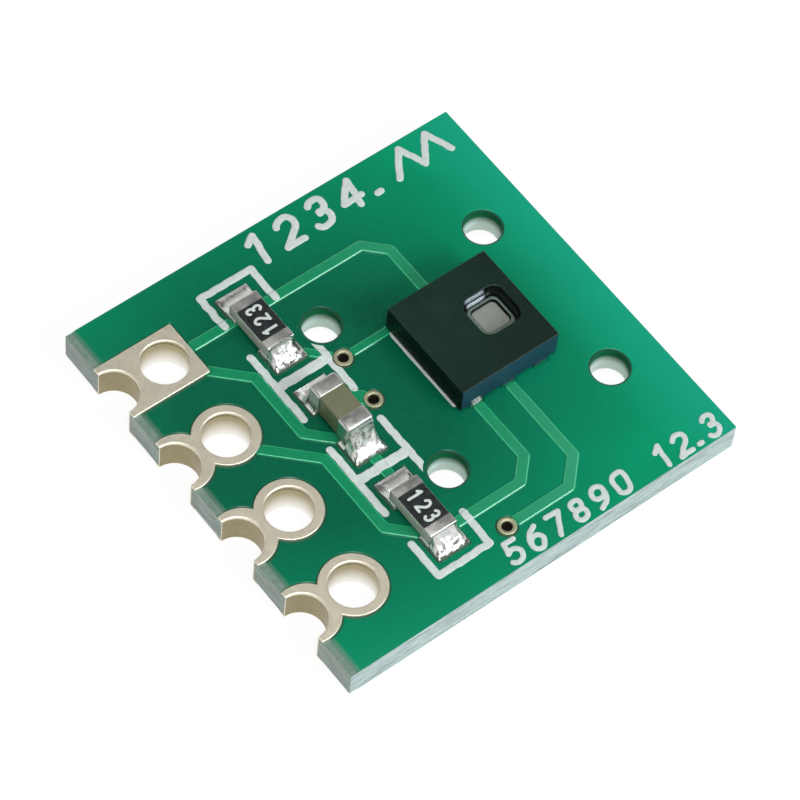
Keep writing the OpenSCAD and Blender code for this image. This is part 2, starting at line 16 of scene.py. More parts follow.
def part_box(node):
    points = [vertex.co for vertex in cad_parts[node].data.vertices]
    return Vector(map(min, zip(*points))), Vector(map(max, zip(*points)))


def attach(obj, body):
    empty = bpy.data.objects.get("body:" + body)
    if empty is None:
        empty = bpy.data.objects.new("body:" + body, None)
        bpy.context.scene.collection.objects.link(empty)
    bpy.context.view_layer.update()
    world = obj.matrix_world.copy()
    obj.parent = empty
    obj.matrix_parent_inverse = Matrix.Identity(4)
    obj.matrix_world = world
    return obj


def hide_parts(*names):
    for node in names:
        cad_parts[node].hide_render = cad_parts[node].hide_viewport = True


bl_info = {
    "name": "Sensor Module Looks",
    "version": (1, 0, 0),
    "blender": (4, 5, 0),
    "location": "3D View > Sidebar > Sensor Module",
    "description": "Dresses the solids of a temperature and humidity sensor module",
    "category": "Object",
}

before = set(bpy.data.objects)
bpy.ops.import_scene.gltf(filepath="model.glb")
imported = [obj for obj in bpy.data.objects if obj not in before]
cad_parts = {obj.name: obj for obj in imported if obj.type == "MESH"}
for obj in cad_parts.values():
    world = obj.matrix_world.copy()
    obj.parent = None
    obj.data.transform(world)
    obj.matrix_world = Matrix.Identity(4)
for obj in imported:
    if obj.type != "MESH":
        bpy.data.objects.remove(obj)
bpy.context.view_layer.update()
MM = 0.001
BODY = "root"


# Properties

def linear(code):
    """The linear colour of an sRGB hex value, with alpha 1."""
    parts = [int(code[i:i + 2], 16) / 255 for i in (1, 3, 5)]
    return [p / 12.92 if p <= 0.04045 else ((p + 0.055) / 1.055) ** 2.4 for p in parts] + [1.0]


def length(name, description, millimetres):
    """A length property, given in millimetres."""
    return FloatProperty(
        name=name, description=description, default=millimetres * MM, unit="LENGTH", precision=6
    )


def paint(name, description, code):
    """A colour property, given as an sRGB hex value."""
    return FloatVectorProperty(
        name=name, description=description, default=linear(code)[:3], subtype="COLOR",
        min=0.0, max=1.0,
    )


class ModuleSizes(bpy.types.PropertyGroup):
    """Sizes that the frame's boxes don't give."""

    pin_inset: length("Pin inset", "Distance of the pin holes from the half-hole edge", 1.52)
    pin_bore: length("Pin bore", "Bore of a plated pin hole", 1.22)
    edge_bore: length("Edge bore", "Bore of a plated half hole", 1.26)
    pin_land: length("Pin land", "Diameter of the land round a pin hole", 1.72)
    edge_land: length("Edge land", "Diameter of the land round a half hole", 1.66)
    edge_land_inset: length("Edge land inset", "Inset of that land's centre", 0.16)
    barrel: length("Plating", "Thickness of the plating on a hole's wall", 0.03)
    via_bore: length("Via bore", "Bore of a plated via", 0.27)
    vent: length("Vent hole", "Diameter of a bare hole", 1.0)
    vent_pitch: length("Vent spacing", "Spacing of the square of bare holes", 5.08)
    vent_inset: length("Vent inset", "Middle of the square from the half-hole edge", 7.86)
    vent_y: length("Vent middle Y", "Middle of the square across the board", -0.11)
    track: length("Track width", "Width of the supply, data and ground tracks", 0.24)
    clock_track: length("Clock track width", "Width of the clock track", 0.18)
    foil: length("Foil", "Thickness of the foil under the mask", 0.035)
    mask: length("Mask", "Thickness of the solder mask", 0.03)
    mask_gap: length("Mask clearance", "Clearance between mask and bare land", 0.04)
    mask_side: length("Mask slope", "Width of the slope beside a track", 0.055)
    mask_setback: length("Mask setback", "Bare strip along the half-hole edge", 0.18)
    chip_land_l: length("Chip land length", "Length of a chip land", 0.8)
    chip_reach: length("Chip land reach", "Outer end of a chip land from its middle", 1.28)
    lead_pitch: length("Lead pitch", "Distance between neighbouring sensor leads", 1.0)
    lead_w: length("Lead width", "Width of a sensor lead", 0.35)
    lead_l: length("Lead length", "Length of a sensor lead", 0.45)
    window: length("Window", "Side of the window at the top of the package", 1.19)
    window_r: length("Window corner", "Corner radius of the window at the top", 0.3)
    silk: length("Line width", "Width of the printed lines", 0.2)
    silk_t: length("Ink", "Thickness of the printed ink", 0.02)
    silk_shift: length("Print shift", "Sideways shift of the print", 0.06)


class ModuleColours(bpy.types.PropertyGroup):
    """Colours of the finishes."""

    # The first two mask colours are the painted shade and painted sheen ends of one gradient; the third is
    # a painted teal sheen at the far edge.
    mask: paint("Mask", "Solder mask, painted shaded end of its gradient", "#045F43")
    mask_lit: paint("Pale mask", "Solder mask, painted lit end of its gradient", "#05976B")
    mask_far_sheen: paint("Far mask", "Painted teal sheen on the mask along the far edge", "#1FAA8C")
    # The two mask-over-copper colours are the painted shade and painted sheen ends of the same gradient.
    track: paint("Mask over copper", "Solder mask over a track", "#14875A")
    track_lit: paint("Pale mask over copper", "Solder mask over a track, painted lit end of its gradient", "#3FA57C")
    laminate: paint("Laminate", "Resin and glass of the board", "#9CA9A1")
    bared: paint("Bared laminate", "Face of the laminate along the half-hole edge", "#71887A")
    # painted highlight: tone of the laminate walls that face -Y
    painted_lit_side: paint("Laminate, painted lit side", "Edge of the board that faces -Y, painted paler as lit", "#A9B8B6")
    # painted shade in the clearances round lands and holes
    gap_shade: paint("Painted shade in clearances", "Painted shade round the lands and holes", "#0F4A34")
    hole_ink: paint("Ink in bare holes", "Mask ink at the top of a bare hole", "#0B6A42")
    gold: paint("Gold plate", "Immersion gold of the lands", "#E9E2CD")
    barrel: paint("Barrel", "Immersion gold in the plated holes", "#AB9F7B")
    # painted light low in a plated hole
    barrel_glow: paint("Barrel foot", "Gold low in a plated hole, painted near white as light through it", "#F6F3EC")
    barrel_rim: paint("Barrel rim", "Browner gold at the top of a plated hole", "#6B6238")
    via: paint("Via gold", "Immersion gold of the via lands, dulled", "#B9B898")
    # painted shade down the vias
    via_shade: paint("Via shade", "Painted shade in a via", "#0B0A07")
    via_shade_pale: paint("Pale via shade", "Lighter painted shade in a via", "#2A2619")
    solder: paint("Solder", "Reflowed solder", "#D6D6D3")
    tin: paint("Tin plate", "Plated end caps and leads", "#CBCBC7")
    alumina: paint("Alumina", "Body of the resistors", "#B9BDB4")
    glaze: paint("Glaze", "Glaze over the resistors", "#171C1E")
    ceramic: paint("Ceramic", "Body of the capacitor", "#6D6F52")
    moulding: paint("Moulding", "Body of the sensor", "#132D25")
    # painted reflection on the sensor sides that face Y; painted shade on those that face X
    sawn_reflection: paint("Sawn moulding, painted reflection", "Cut sides of the sensor that face Y, painted blue as lit", "#1C3C52")
    sawn_shade: paint("Sawn moulding, painted shade", "Cut sides of the sensor along Y, painted near black as shade", "#08100E")
    # painted reflection stripes on the window wall
    glint_stripes: paint("Painted glint stripes", "Painted reflection stripes on the window's wall", "#CFD9E2")
    # painted shade on the sensor's lead ends, lands and solder, with a painted glint at the first lead
    lead: paint("Lead end", "Tarnished ends of the sensor's leads", "#25404F")
    lead_land: paint("Lead land", "Lands and solder of the sensor's leads", "#0F7A58")
    die: paint("Die", "Face of the sensing chip", "#888D84")
    dam: paint("Dam", "Rim round the sensing chip", "#62736A")
    ink: paint("Ink", "Printed lines and digits", "#CFD8D4")


def sizes():
    """The sizes as plain millimetres."""
    group = bpy.context.scene.module_sizes
    return {name: getattr(group, name) / MM for name in ModuleSizes.__annotations__}


def colour(name):
    """A colour property's value, with alpha 1."""
    return list(getattr(bpy.context.scene.module_colours, name)) + [1.0]


def node_box(name):
    """A node's lowest and highest corners in millimetres."""
    low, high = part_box(name)
    return [v / MM for v in low], [v / MM for v in high]


# Flat shapes: each gives its outline, grown by a margin, and its distance from points

def arc(x, y, r, start, end, count):
    """Points on an arc, angles in degrees."""
    turns = [math.radians(start + (end - start) * i / count) for i in range(count + 1)]
    return [(x + r * math.cos(t), y + r * math.sin(t)) for t in turns]


class Disc:
    """A circle."""

    def __init__(self, x, y, r, count=72):
        self.x, self.y, self.r, self.count = x, y, r, count

    def loops(self, grow=0.0):
        return [arc(self.x, self.y, self.r + grow, 0, 360, self.count)[:-1]]

    def distance(self, p):
        return np.hypot(p[:, 0] - self.x, p[:, 1] - self.y) - self.r


class Rect:
    """A rectangle between two corners, with round corners of radius r."""

    def __init__(self, low, high, r=0.0, count=6):
        self.low, self.high, self.r, self.count = low, high, r, count

    def loops(self, grow=0.0):
        r = max(self.r + grow, 0.0)
        x0, y0 = self.low[0] - grow, self.low[1] - grow
        x1, y1 = self.high[0] + grow, self.high[1] + grow
        if r < 1e-6:
            return [[(x0, y0), (x1, y0), (x1, y1), (x0, y1)]]
        corners = [(x1 - r, y1 - r, 0), (x0 + r, y1 - r, 90), (x0 + r, y0 + r, 180), (x1 - r, y0 + r, 270)]
        return [[p for x, y, a in corners for p in arc(x, y, r, a, a + 90, self.count)]]

    def distance(self, p):
        centre = (np.array(self.low) + np.array(self.high)) / 2
        half = (np.array(self.high) - np.array(self.low)) / 2 - self.r
        q = np.abs(p - centre) - half
        outside = np.hypot(np.maximum(q[:, 0], 0), np.maximum(q[:, 1], 0))
        return outside + np.minimum(np.maximum(q[:, 0], q[:, 1]), 0) - self.r


def segment_distance(p, points):
    """Distance of each point of p from a polyline."""
    best = np.full(len(p), 1e9)
    for a, b in zip(points, points[1:]):
        a, b = np.array(a), np.array(b)
        run = b - a
        t = np.clip(((p - a) @ run) / max(run @ run, 1e-12), 0, 1)
        near = a + t[:, None] * run
        best = np.minimum(best, np.hypot(*(p - near).T))
    return best


class Route:
    """A track: straight runs of one width with round joints."""

    def __init__(self, points, width, count=10):
        self.points, self.width, self.count = points, width, count

    def loops(self, grow=0.0):
        r = self.width / 2 + grow
        made = []
        for a, b in zip(self.points, self.points[1:]):
            turn = math.degrees(math.atan2(b[1] - a[1], b[0] - a[0]))
            made.append(
                arc(*b, r, turn - 90, turn + 90, self.count) + arc(*a, r, turn + 90, turn + 270, self.count)
            )
        return made

    def distance(self, p):
        return segment_distance(p, self.points) - self.width / 2


class Stroke(Route):
    """A pen stroke: one smooth curve of one width with round ends."""

    def loops(self, grow=0.0):
        r = self.width / 2 + grow
        pts = [Vector(q) for q in self.points]
        left, right = [], []
        for i, q in enumerate(pts):
            run = (pts[min(i + 1, len(pts) - 1)] - pts[max(i - 1, 0)]).normalized()
            side = Vector((-run.y, run.x)) * r
            left.append(tuple(q + side))
            right.append(tuple(q - side))
        ends = []
        for q, other in ((pts[-1], pts[-2]), (pts[0], pts[1])):
            run = q - other
            turn = math.degrees(math.atan2(run.y, run.x))
            ends.append(arc(q.x, q.y, r, turn + 90, turn - 90, self.count)[1:-1])
        return [left + ends[0] + right[::-1] + ends[1]]


def nearest(shapes, p):
    """Distance of each point from the union of the shapes, negative inside."""
    best = np.full(len(p), 1e9)
    for shape in shapes:
        best = np.minimum(best, shape.distance(p))
    return best


def outlines(shapes, *grows):
    """The outlines of shapes at several margins."""
    return [loop for g in grows for shape in shapes for loop in shape.loops(g)]


def edge_outlines(shape, edge):
    """The outlines that a rounded edge of a width needs, closest where it is steepest."""
    return outlines([shape], 0.0, -edge * 0.15, -edge * 0.5, -edge)


# Mesh builders

def layered(name, loops, heights, fill, paints=None, wall_paints=None, place=None):
    """A closed solid over a flat plan.

    The loops are drawn into one triangulation. heights are functions that give the height of
    each level at the plan's points, from the lowest up, and fill says for each triangle which
    of the spaces between the levels are solid. paints gives each triangle's material slot, and
    wall_paints each upright face's. place turns plan coordinates and a height into x, y and z.
    """
    plan, links = [], []
    for loop in loops:
        start = len(plan)
        plan += [Vector(q) for q in loop]
        links += [(start + i, start + (i + 1) % len(loop)) for i in range(len(loop))]
    points, _, tris, *_ = delaunay_2d_cdt(plan, links, [], 0, 1e-5, False)
    points = np.array([(q.x, q.y) for q in points])
    tris = np.array([t for t in tris if len(t) == 3])
    corners = points[tris]
    twice = np.cross(corners[:, 1] - corners[:, 0], corners[:, 2] - corners[:, 0])
    tris = np.where(twice[:, None] < 0, tris[:, ::-1], tris)[np.abs(twice) > 1e-9]
    middles = points[tris].mean(axis=1)
    solid = np.array(fill(middles)).T
    slots = paints(middles) if paints else np.zeros(len(tris), int)
    levels = [h(points) for h in heights]
    count = len(points)
    verts = np.concatenate([np.column_stack([points, z]) for z in levels])
    normals = [level_normals(h, points) for h in heights]
    if place:
        verts = np.array([place(*v) for v in verts])
        normals = [np.array([place(*v) for v in n]) - place(0, 0, 0) for n in normals]
    faces, marks, corner_normals = [], [], []
    for t, (tri, cells) in enumerate(zip(tris, solid)):
        for k in range(len(levels)):
            below = k > 0 and cells[k - 1]
            above = k < len(levels) - 1 and cells[k]
            if below != above:
                face, sign = (tri, 1) if below else (tri[::-1], -1)
                faces.append([int(v) + k * count for v in face])
                marks.append(slots[t])
                corner_normals += [normals[k][v] * sign for v in face]
    sides = {}
    for t, tri in enumerate(tris):
        for a, b in ((tri[0], tri[1]), (tri[1], tri[2]), (tri[2], tri[0])):
            sides.setdefault((min(a, b), max(a, b)), []).append((t, a, b))
    for owners in sides.values():
        for k in range(len(levels) - 1):
            held = [o for o in owners if solid[o[0]][k]]
            if len(held) == 1:
                t, a, b = held[0]
                low, high = k * count, (k + 1) * count
                faces.append([int(v) for v in (b + low, b + high, a + high, a + low)])
                middle = (points[a] + points[b])[None, :] / 2
                marks.append(wall_paints(middle)[0] if wall_paints else slots[t])
                corner_normals += [(0.0, 0.0, 0.0)] * 4
    return mesh_object(name, verts, faces, marks, corner_normals)


def level_normals(height, p, step=0.0005):
    """Upward normals of a height function, so that long triangles beside a curve shade flat."""
    slopes = [
        (height(p + shift) - height(p - shift)) / (2 * step)
        for shift in (np.array([step, 0.0]), np.array([0.0, step]))
    ]
    normal = np.column_stack([-slopes[0], -slopes[1], np.ones(len(p))])
    return normal / np.linalg.norm(normal, axis=1)[:, None]


def mesh_object(name, verts, faces, marks=None, corner_normals=None, sharp=35, weld=2e-5):
    """An object from millimetre points, welded and smooth up to an angle.

    A corner normal of zero leaves that corner to the mesh's own shading.
    """
    mesh = bpy.data.meshes.new(name)
    mesh.from_pydata([tuple(float(c) * MM for c in v) for v in verts], [], faces)
    if marks is not None:
        mesh.polygons.foreach_set("material_index", [int(m) for m in marks])
    if corner_normals is not None:
        kept = mesh.attributes.new("kept_normal", "FLOAT_VECTOR", "CORNER")
        kept.data.foreach_set("vector", np.array(corner_normals, dtype=float).ravel())
    bm = bmesh.new()
    bm.from_mesh(mesh)
    bmesh.ops.remove_doubles(bm, verts=bm.verts, dist=weld * MM)
    bmesh.ops.dissolve_degenerate(bm, edges=bm.edges, dist=weld * MM)
    bmesh.ops.delete(bm, geom=[v for v in bm.verts if not v.link_faces], context="VERTS")
    if corner_normals is None:
        bmesh.ops.recalc_face_normals(bm, faces=bm.faces)
    if bm.calc_volume(signed=True) <= 0:
        raise RuntimeError(name + " is inside out")
    bm.to_mesh(mesh)
    bm.free()
    mesh.shade_smooth()
    mesh.set_sharp_from_angle(angle=math.radians(sharp))
    if corner_normals is not None:
        kept = mesh.attributes["kept_normal"]
        values = np.empty(len(kept.data) * 3)
        kept.data.foreach_get("vector", values)
        mesh.attributes.remove(kept)
        mesh.normals_split_custom_set(values.reshape(-1, 3))
    made = bpy.data.objects.new(name, mesh)
    bpy.context.scene.collection.objects.link(made)
    return made


def loft(name, rings, sharp=35):
    """A closed solid through rings of as many points each."""
    verts = [v for ring in rings for v in ring]
    n = len(rings[0])
    faces = [
        [k * n + i, k * n + (i + 1) % n, (k + 1) * n + (i + 1) % n, (k + 1) * n + i]
        for k in range(len(rings) - 1) for i in range(n)
    ]
    faces += [list(range(n))[::-1], [(len(rings) - 1) * n + i for i in range(n)]]
    return mesh_object(name, verts, faces, sharp=sharp)


def dress(piece, material, slot, *nodes, extra=()):
    """Gives a piece its materials and its body and hides the nodes it stands for. The slot is not used."""
    for m in (material, *extra):
        piece.data.materials.append(m)
    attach(piece, BODY)
    if nodes:
        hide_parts(*nodes)
    return piece


def coat_node(name, material):
    """Gives a carried-over solid its material."""
    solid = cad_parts[name]
    solid.data.materials.clear()
    solid.data.materials.append(material)


# Layout of the board, worked out from the frame and the sizes

class Layout:
    """Places of everything on the board, in millimetres."""

    def __init__(self):
        s = sizes()
        self.s = s
        self.low, self.high = node_box("board_laminate")
        self.under_z, self.top_z = self.low[2], self.high[2]
        self.mask_z = self.top_z + s["mask"]
        self.land_z = node_box("land_supply")[1][2]
        self.edge_x = self.low[0]
        self.pin_x = self.edge_x + s["pin_inset"]
        self.pin_names = ("land_supply", "land_data", "land_clock", "land_ground")
        self.pins = [(a[1] + b[1]) / 2 for a, b in map(node_box, self.pin_names)]
        self.via_names = ("via_clock", "via_ground_capacitor", "via_ground_sensor")
        boxes = [node_box(n) for n in self.via_names]
        self.vias = [((a[0] + b[0]) / 2, (a[1] + b[1]) / 2) for a, b in boxes]
        self.via_land = boxes[0][1][0] - boxes[0][0][0]
        low, high = node_box("chip_lands")
        self.chip_x, self.chip_land_w = (low[0] + high[0]) / 2, high[0] - low[0]
        self.chip_column = (low[1] + high[1]) / 2
        self.chip_pitch = (high[1] - low[1]) / 2 - s["chip_reach"]
        half, vent_x = s["vent_pitch"] / 2, self.edge_x + s["vent_inset"]
        self.vents = [
            Disc(vent_x + i * half, s["vent_y"] + j * half, s["vent"] / 2, 96)
            for i in (-1, 1) for j in (-1, 1)
        ]
        self.sensor_low, self.sensor_high = node_box("sensor_cover")
        self.sensor_x = (self.sensor_low[0] + self.sensor_high[0]) / 2
        self.sensor_y = (self.sensor_low[1] + self.sensor_high[1]) / 2
        self.lead_x = [self.sensor_x + i * s["lead_pitch"] for i in (-1, 0, 1)]
        low, high = node_box("sensor_lands")
        self.lead_reach = high[1]
        self.lead_fall = low[1]
        self.board = Rect(self.low[:2], self.high[:2])
        self.masked = Rect((self.edge_x + s["mask_setback"], self.low[1]), self.high[:2])
        self.via_shapes = [Disc(x, y, self.via_land / 2, 48) for x, y in self.vias]
        self.chip_rects = [
            self.chip_land(k, side, 0.03) for k in range(3) for side in (-1, 1)
        ]
        self.sensor_rects = [self.sensor_land(x, side) for x in self.lead_x for side in (-1, 1)]

    def chip_y(self, k):
        """Middle of a chip's lands: 0 is the top resistor, 1 the capacitor, 2 the low resistor."""
        return self.chip_column + (1 - k) * self.chip_pitch

    def chip_land(self, k, side, r):
        """One land of a chip: side -1 is the end at -Y."""
        s = self.s
        ends = sorted(
            self.chip_y(k) + side * d for d in (s["chip_reach"], s["chip_reach"] - s["chip_land_l"])
        )
        half = self.chip_land_w / 2
        return Rect((self.chip_x - half, ends[0]), (self.chip_x + half, ends[1]), r)

    def sensor_land(self, x, side):
        """The land of one sensor lead: side -1 is the one at -Y."""
        s, margin, r = self.s, 0.03, 0.03
        half = s["lead_w"] / 2 + margin
        if side > 0:
            return Rect((x - half, self.sensor_high[1] - s["lead_l"]), (x + half, self.lead_reach), r)
        return Rect((x - half, self.lead_fall), (x + half, self.sensor_low[1] + s["lead_l"]), r)

    def pin_outline(self, i):
        """The shapes of one pin's land."""
        s = self.s
        if i == 0:
            low, high = node_box("land_supply")
            beyond_edge, corner_r = 0.3, 0.05
            return [Rect((low[0] - beyond_edge, low[1]), high[:2], corner_r)]
        return [
            Disc(self.pin_x, self.pins[i], s["pin_land"] / 2, 112),
            Disc(self.edge_x + s["edge_land_inset"], self.pins[i], s["edge_land"] / 2, 112),
        ]

    def pin_bores(self, i):
        """One pin's hole and half hole, inside their plating."""
        s = self.s
        return [
            Disc(self.pin_x, self.pins[i], s["pin_bore"] / 2, 96),
            Disc(self.edge_x, self.pins[i], s["edge_bore"] / 2, 96),
        ]

    def bare(self, top):
        """Every shape that the mask leaves bare on a face."""
        shapes = [shape for i in range(4) for shape in self.pin_outline(i)] + self.via_shapes
        return shapes + (self.chip_rects + self.sensor_rects if top else [])

    def top_tracks(self):
        """The tracks on the top face."""
        s = self.s
        w, thin = s["track"], s["clock_track"]
        cx, (v1, v2, v3) = self.chip_x, self.vias
        inner = s["chip_reach"] - s["chip_land_l"]
        low, high = node_box("land_supply")
        beside_chips, bite, corner_inset, meet_inset = 0.98, 0.2, 0.055, 0.09
        run_x = cx - beside_chips
        corner = (high[0] - corner_inset, low[1] + corner_inset)
        meet = [self.chip_y(k) - inner - meet_inset for k in range(3)]
        turn = [y + cx - bite - run_x for y in meet]
        bend, sensor_bend = 0.53, 0.65
        first, middle = self.lead_x[0], self.lead_x[1]
        head, foot = self.sensor_high[1] - s["lead_l"] / 2, self.sensor_low[1] + s["lead_l"] / 2
        start_x, start_y, data_inset = 0.3, 0.67, 0.195
        start = (self.pin_x + start_x, self.pins[1] - start_y)
        data_y = self.chip_y(2) - inner - data_inset
        shift, tail, tail_inset, widening = 0.03, 0.3, 0.12, 0.1
        drop = self.chip_y(0) - s["chip_reach"] + bite - v1[1]
        supply_y = self.pins[0]
        return [
            Route([(self.pin_x, supply_y), (middle - bend, supply_y), (middle, supply_y - bend),
                   (middle, head)], w),
            Route([(corner[0] - bite, corner[1] + bite), (run_x, sum(corner) - run_x), (run_x, turn[1]),
                   (cx - bite, meet[1])], w),
            Route([(cx + shift, self.chip_y(1) - s["chip_reach"] + bite),
                   (cx + shift, self.chip_y(2) + s["chip_reach"] - bite)], w),
            Route([start, (run_x, sum(start) - run_x), (run_x, turn[2]), (cx - bite, meet[2])], w),
            Route([(cx, data_y), (first - bend, data_y), (first, data_y + bend), (first, foot)], w),
            Route([(v1[0] - drop, v1[1] + drop), v1], thin),
            Route([v1, (first, v1[1]), (first, head)], thin),
            Route([v3, (middle - sensor_bend, v3[1]), (middle, v3[1] + sensor_bend), (middle, foot)], w),
            Route([v2, (cx + tail, self.chip_y(1) + inner + tail_inset)], w),
            Route([v2, (v2[0] - tail, v2[1] + tail)], w + widening),
        ]

    def under_tracks(self):
        """The tracks on the underside."""
        s = self.s
        v1, v2, v3 = self.vias
        rise, fall = v1[1] - self.pins[2], self.pins[3] - v3[1]
        past_via = 1.16
        x = v2[0] + past_via
        return [
            Route([(self.pin_x, self.pins[2]), (v1[0] - rise, self.pins[2]), v1], s["clock_track"]),
            Route([(self.pin_x, self.pins[3]), (v3[0] - fall, self.pins[3]), v3, (x, v3[1] + x - v3[0]),
                   (x, v2[1] - (x - v2[0])), v2], s["track"]),
        ]

    def ridge(self, tracks):
        """The height that the tracks add to the mask over them, as a function of the plan."""
        foil, side = self.s["foil"], self.s["mask_side"]

        def rise(p):
            t = np.clip(1 - nearest(tracks, p) / side, 0, 1)
            return foil * t * t * (3 - 2 * t)

        return rise

    def mask_top(self, p):
        """Height of the top mask, tracks and all."""
        return self.mask_z + self.ridge(self.top_tracks())(p)


def flat(z):
    """A level of one height."""
    return lambda p: np.full(len(p), z)


def rounded(depth, r):
    """How far a rounded edge of radius r has dropped at a distance inside its outline."""
    d = np.clip(depth, 0, r)
    return r - np.sqrt(np.maximum(r * r - (r - d) ** 2, 0))


# Materials

def node(tree, kind, inputs=None, **settings):
    """Adds a node with its settings, and sets or links its inputs."""
    made = tree.nodes.new(kind)
    for key, value in settings.items():
        setattr(made, key, value)
    for key, value in (inputs or {}).items():
        socket = made.inputs[key]
        if isinstance(value, bpy.types.NodeSocket):
            tree.links.new(value, socket)
        else:
            socket.default_value = value
    return made


def empty_tree(owner):
    """The cleared node tree of a material or a world."""
    owner.use_nodes = True
    owner.node_tree.nodes.clear()
    return owner.node_tree


def start_material(name, sheen=None, **shader_inputs):
    """A new material with its shader and millimetre coordinates. A sheen sets its specular level."""
    material = bpy.data.materials.new(name)
    tree = empty_tree(material)
    if sheen is not None:
        shader_inputs["Specular IOR Level"] = sheen
    shader = node(tree, "ShaderNodeBsdfPrincipled", shader_inputs)
    node(tree, "ShaderNodeOutputMaterial", {"Surface": shader.outputs[0]})
    where = node(tree, "ShaderNodeTexCoord").outputs["Object"]
    scale = (1 / MM, 1 / MM, 1 / MM)
    millimetres = node(tree, "ShaderNodeMapping", {"Vector": where, "Scale": scale}).outputs[0]
    return material, tree, shader, millimetres


def axis(tree, vector, i):
    """One coordinate of a vector: 0, 1 or 2 for x, y or z."""
    return node(tree, "ShaderNodeSeparateXYZ", {0: vector}).outputs[i]


def facing_y(tree):
    """The Y of the surface's direction: -1 on a wall that faces -Y."""
    return axis(tree, node(tree, "ShaderNodeNewGeometry").outputs["True Normal"], 1)


def maths(tree, operation, value, *others):
    """Joins values from left to right with one operation."""
    for other in others:
        value = node(tree, "ShaderNodeMath", {0: value, 1: other}, operation=operation).outputs[0]
    return value


def grain(tree, where, size, detail=2.0, roughness=0.5, stretch=(1, 1, 1)):
    """Noise from 0 to 1 with features of a size in millimetres."""
    if stretch != (1, 1, 1):
        where = node(tree, "ShaderNodeMapping", {"Vector": where, "Scale": stretch}).outputs[0]
    made = node(tree, "ShaderNodeTexNoise",
                {"Vector": where, "Scale": 1 / size, "Detail": detail, "Roughness": roughness})
    return made.outputs["Fac"]


def between(tree, value, low, high, low_in=0.3, high_in=0.7):
    """Maps a value to a range."""
    made = node(tree, "ShaderNodeMapRange",
                {"Value": value, "From Min": low_in, "From Max": high_in, "To Min": low, "To Max": high})
    return made.outputs[0]


def blend_colour(tree, factor, first, second):
    """A colour between two others. The node's colour sockets are its seventh and eighth."""
    return node(tree, "ShaderNodeMix", {0: factor, 6: first, 7: second}, data_type="RGBA").outputs[2]


def shade(rgba, k):
    """A colour made darker or lighter by a factor."""
    return [min(c * k, 1.0) for c in rgba[:3]] + [1.0]


def cloudy(tree, value, base, dark, pale):
    """A colour that a noise varies between two shades of itself."""
    return blend_colour(tree, between(tree, value, 0, 1), shade(base, dark), shade(base, pale))


def coat(tree, shader, tone, roughness=None):
    """Links a colour, and a roughness that varies, into the shader."""
    tree.links.new(tone, shader.inputs["Base Color"])
    if roughness is not None:
        tree.links.new(roughness, shader.inputs["Roughness"])


def bump(tree, shader, height, depth):
    """Bump of a depth in millimetres for a height from 0 to 1."""
    made = node(tree, "ShaderNodeBump", {"Height": height, "Distance": depth * MM, "Strength": 1.0})
    tree.links.new(made.outputs[0], shader.inputs["Normal"])


def spread(tree, where, centre, start, reach):
    """0 round a place on the board, rising to 1 between two distances from it in millimetres."""
    plan = node(tree, "ShaderNodeVectorMath", {0: where, 1: (1, 1, 0)}, operation="MULTIPLY").outputs[0]
    made = node(tree, "ShaderNodeVectorMath", {0: plan, 1: (*centre, 0)}, operation="DISTANCE")
    return between(tree, made.outputs["Value"], 0, 1, start, reach)


def mask_material(name, dark, pale, cloth, sheen=0.2):
    """Liquid photo-imaged solder mask, cured: a glossy green film that levels itself. Its colour is painted
    darker round a point among the chips and paler away from it, a painted shade and sheen, with a painted
    teal sheen towards the far edge. At its brink it is so thin that the laminate shows through."""
    material, tree, shader, mm = start_material(name, sheen, IOR=1.5, Roughness=0.22)
    at = Layout()
    x, far_edge, brink = axis(tree, mm, 0), at.high[0], at.masked.low[0]
    painted_shade_centre, teal_width = (-2.2, 0.6), 1.8
    patches, fine = grain(tree, mm, 2.6), grain(tree, mm, 0.16)
    # painted shade and sheen: darker round this point, paler away from it
    tone = blend_colour(tree, spread(tree, mm, painted_shade_centre, 3.2, 8.0), dark, pale)
    tone = blend_colour(tree, between(tree, patches, 0, 0.25), tone, shade(dark, 0.85))
    # painted sheen: a teal tinge towards the far edge
    teal_sheen = between(tree, x, 0, 0.6, far_edge - teal_width, far_edge)
    tone = blend_colour(tree, teal_sheen, tone, colour("mask_far_sheen"))
    tone = blend_colour(tree, between(tree, fine, 0, cloth, 0.35, 0.65), tone, shade(pale, 1.1))
    thin = between(tree, x, 0.85, 0, brink - 0.02, brink + 0.14)
    tone = blend_colour(tree, thin, tone, colour("bared"))
    coat(tree, shader, tone, between(tree, patches, 0.18, 0.26))
    bump(tree, shader, grain(tree, mm, 0.22, 1.0), 0.0012)
    return material


def fibre_streaks(tree, mm):
    """Streaks of cut cloth along a routed edge."""
    return grain(tree, mm, 0.11, 3.0, 0.6, (0.16, 0.16, 2.2))


def laminate_material():
    """Woven glass in epoxy, cut by a router: pale grey-green, matt, with streaks of cut cloth along the
    edge and broken fibre ends as specks. Walls that face -Y are painted paler, a painted highlight of the
    lamp on that side."""
    material, tree, shader, mm = start_material("Glass-epoxy laminate, routed", IOR=1.55, Roughness=0.6)
    streaks, ends = fibre_streaks(tree, mm), grain(tree, mm, 0.06, 3.0, 0.6)

    def streaked(base):
        runs = between(tree, streaks, 0, 1, 0.35, 0.62)
        tone = blend_colour(tree, runs, shade(base, 0.68), shade(base, 1.35))
        return blend_colour(tree, between(tree, ends, 0, 0.5, 0.5, 0.75), tone, shade(base, 1.5))

    # painted highlight: walls that face -Y take the paler lit tone
    painted_lit_side = between(tree, facing_y(tree), 1, 0, -0.9, -0.6)
    routed_tone, painted_lit_tone = streaked(colour("laminate")), streaked(colour("painted_lit_side"))
    coat(tree, shader, blend_colour(tree, painted_lit_side, routed_tone, painted_lit_tone))
    bump(tree, shader, streaks, 0.03)
    return material


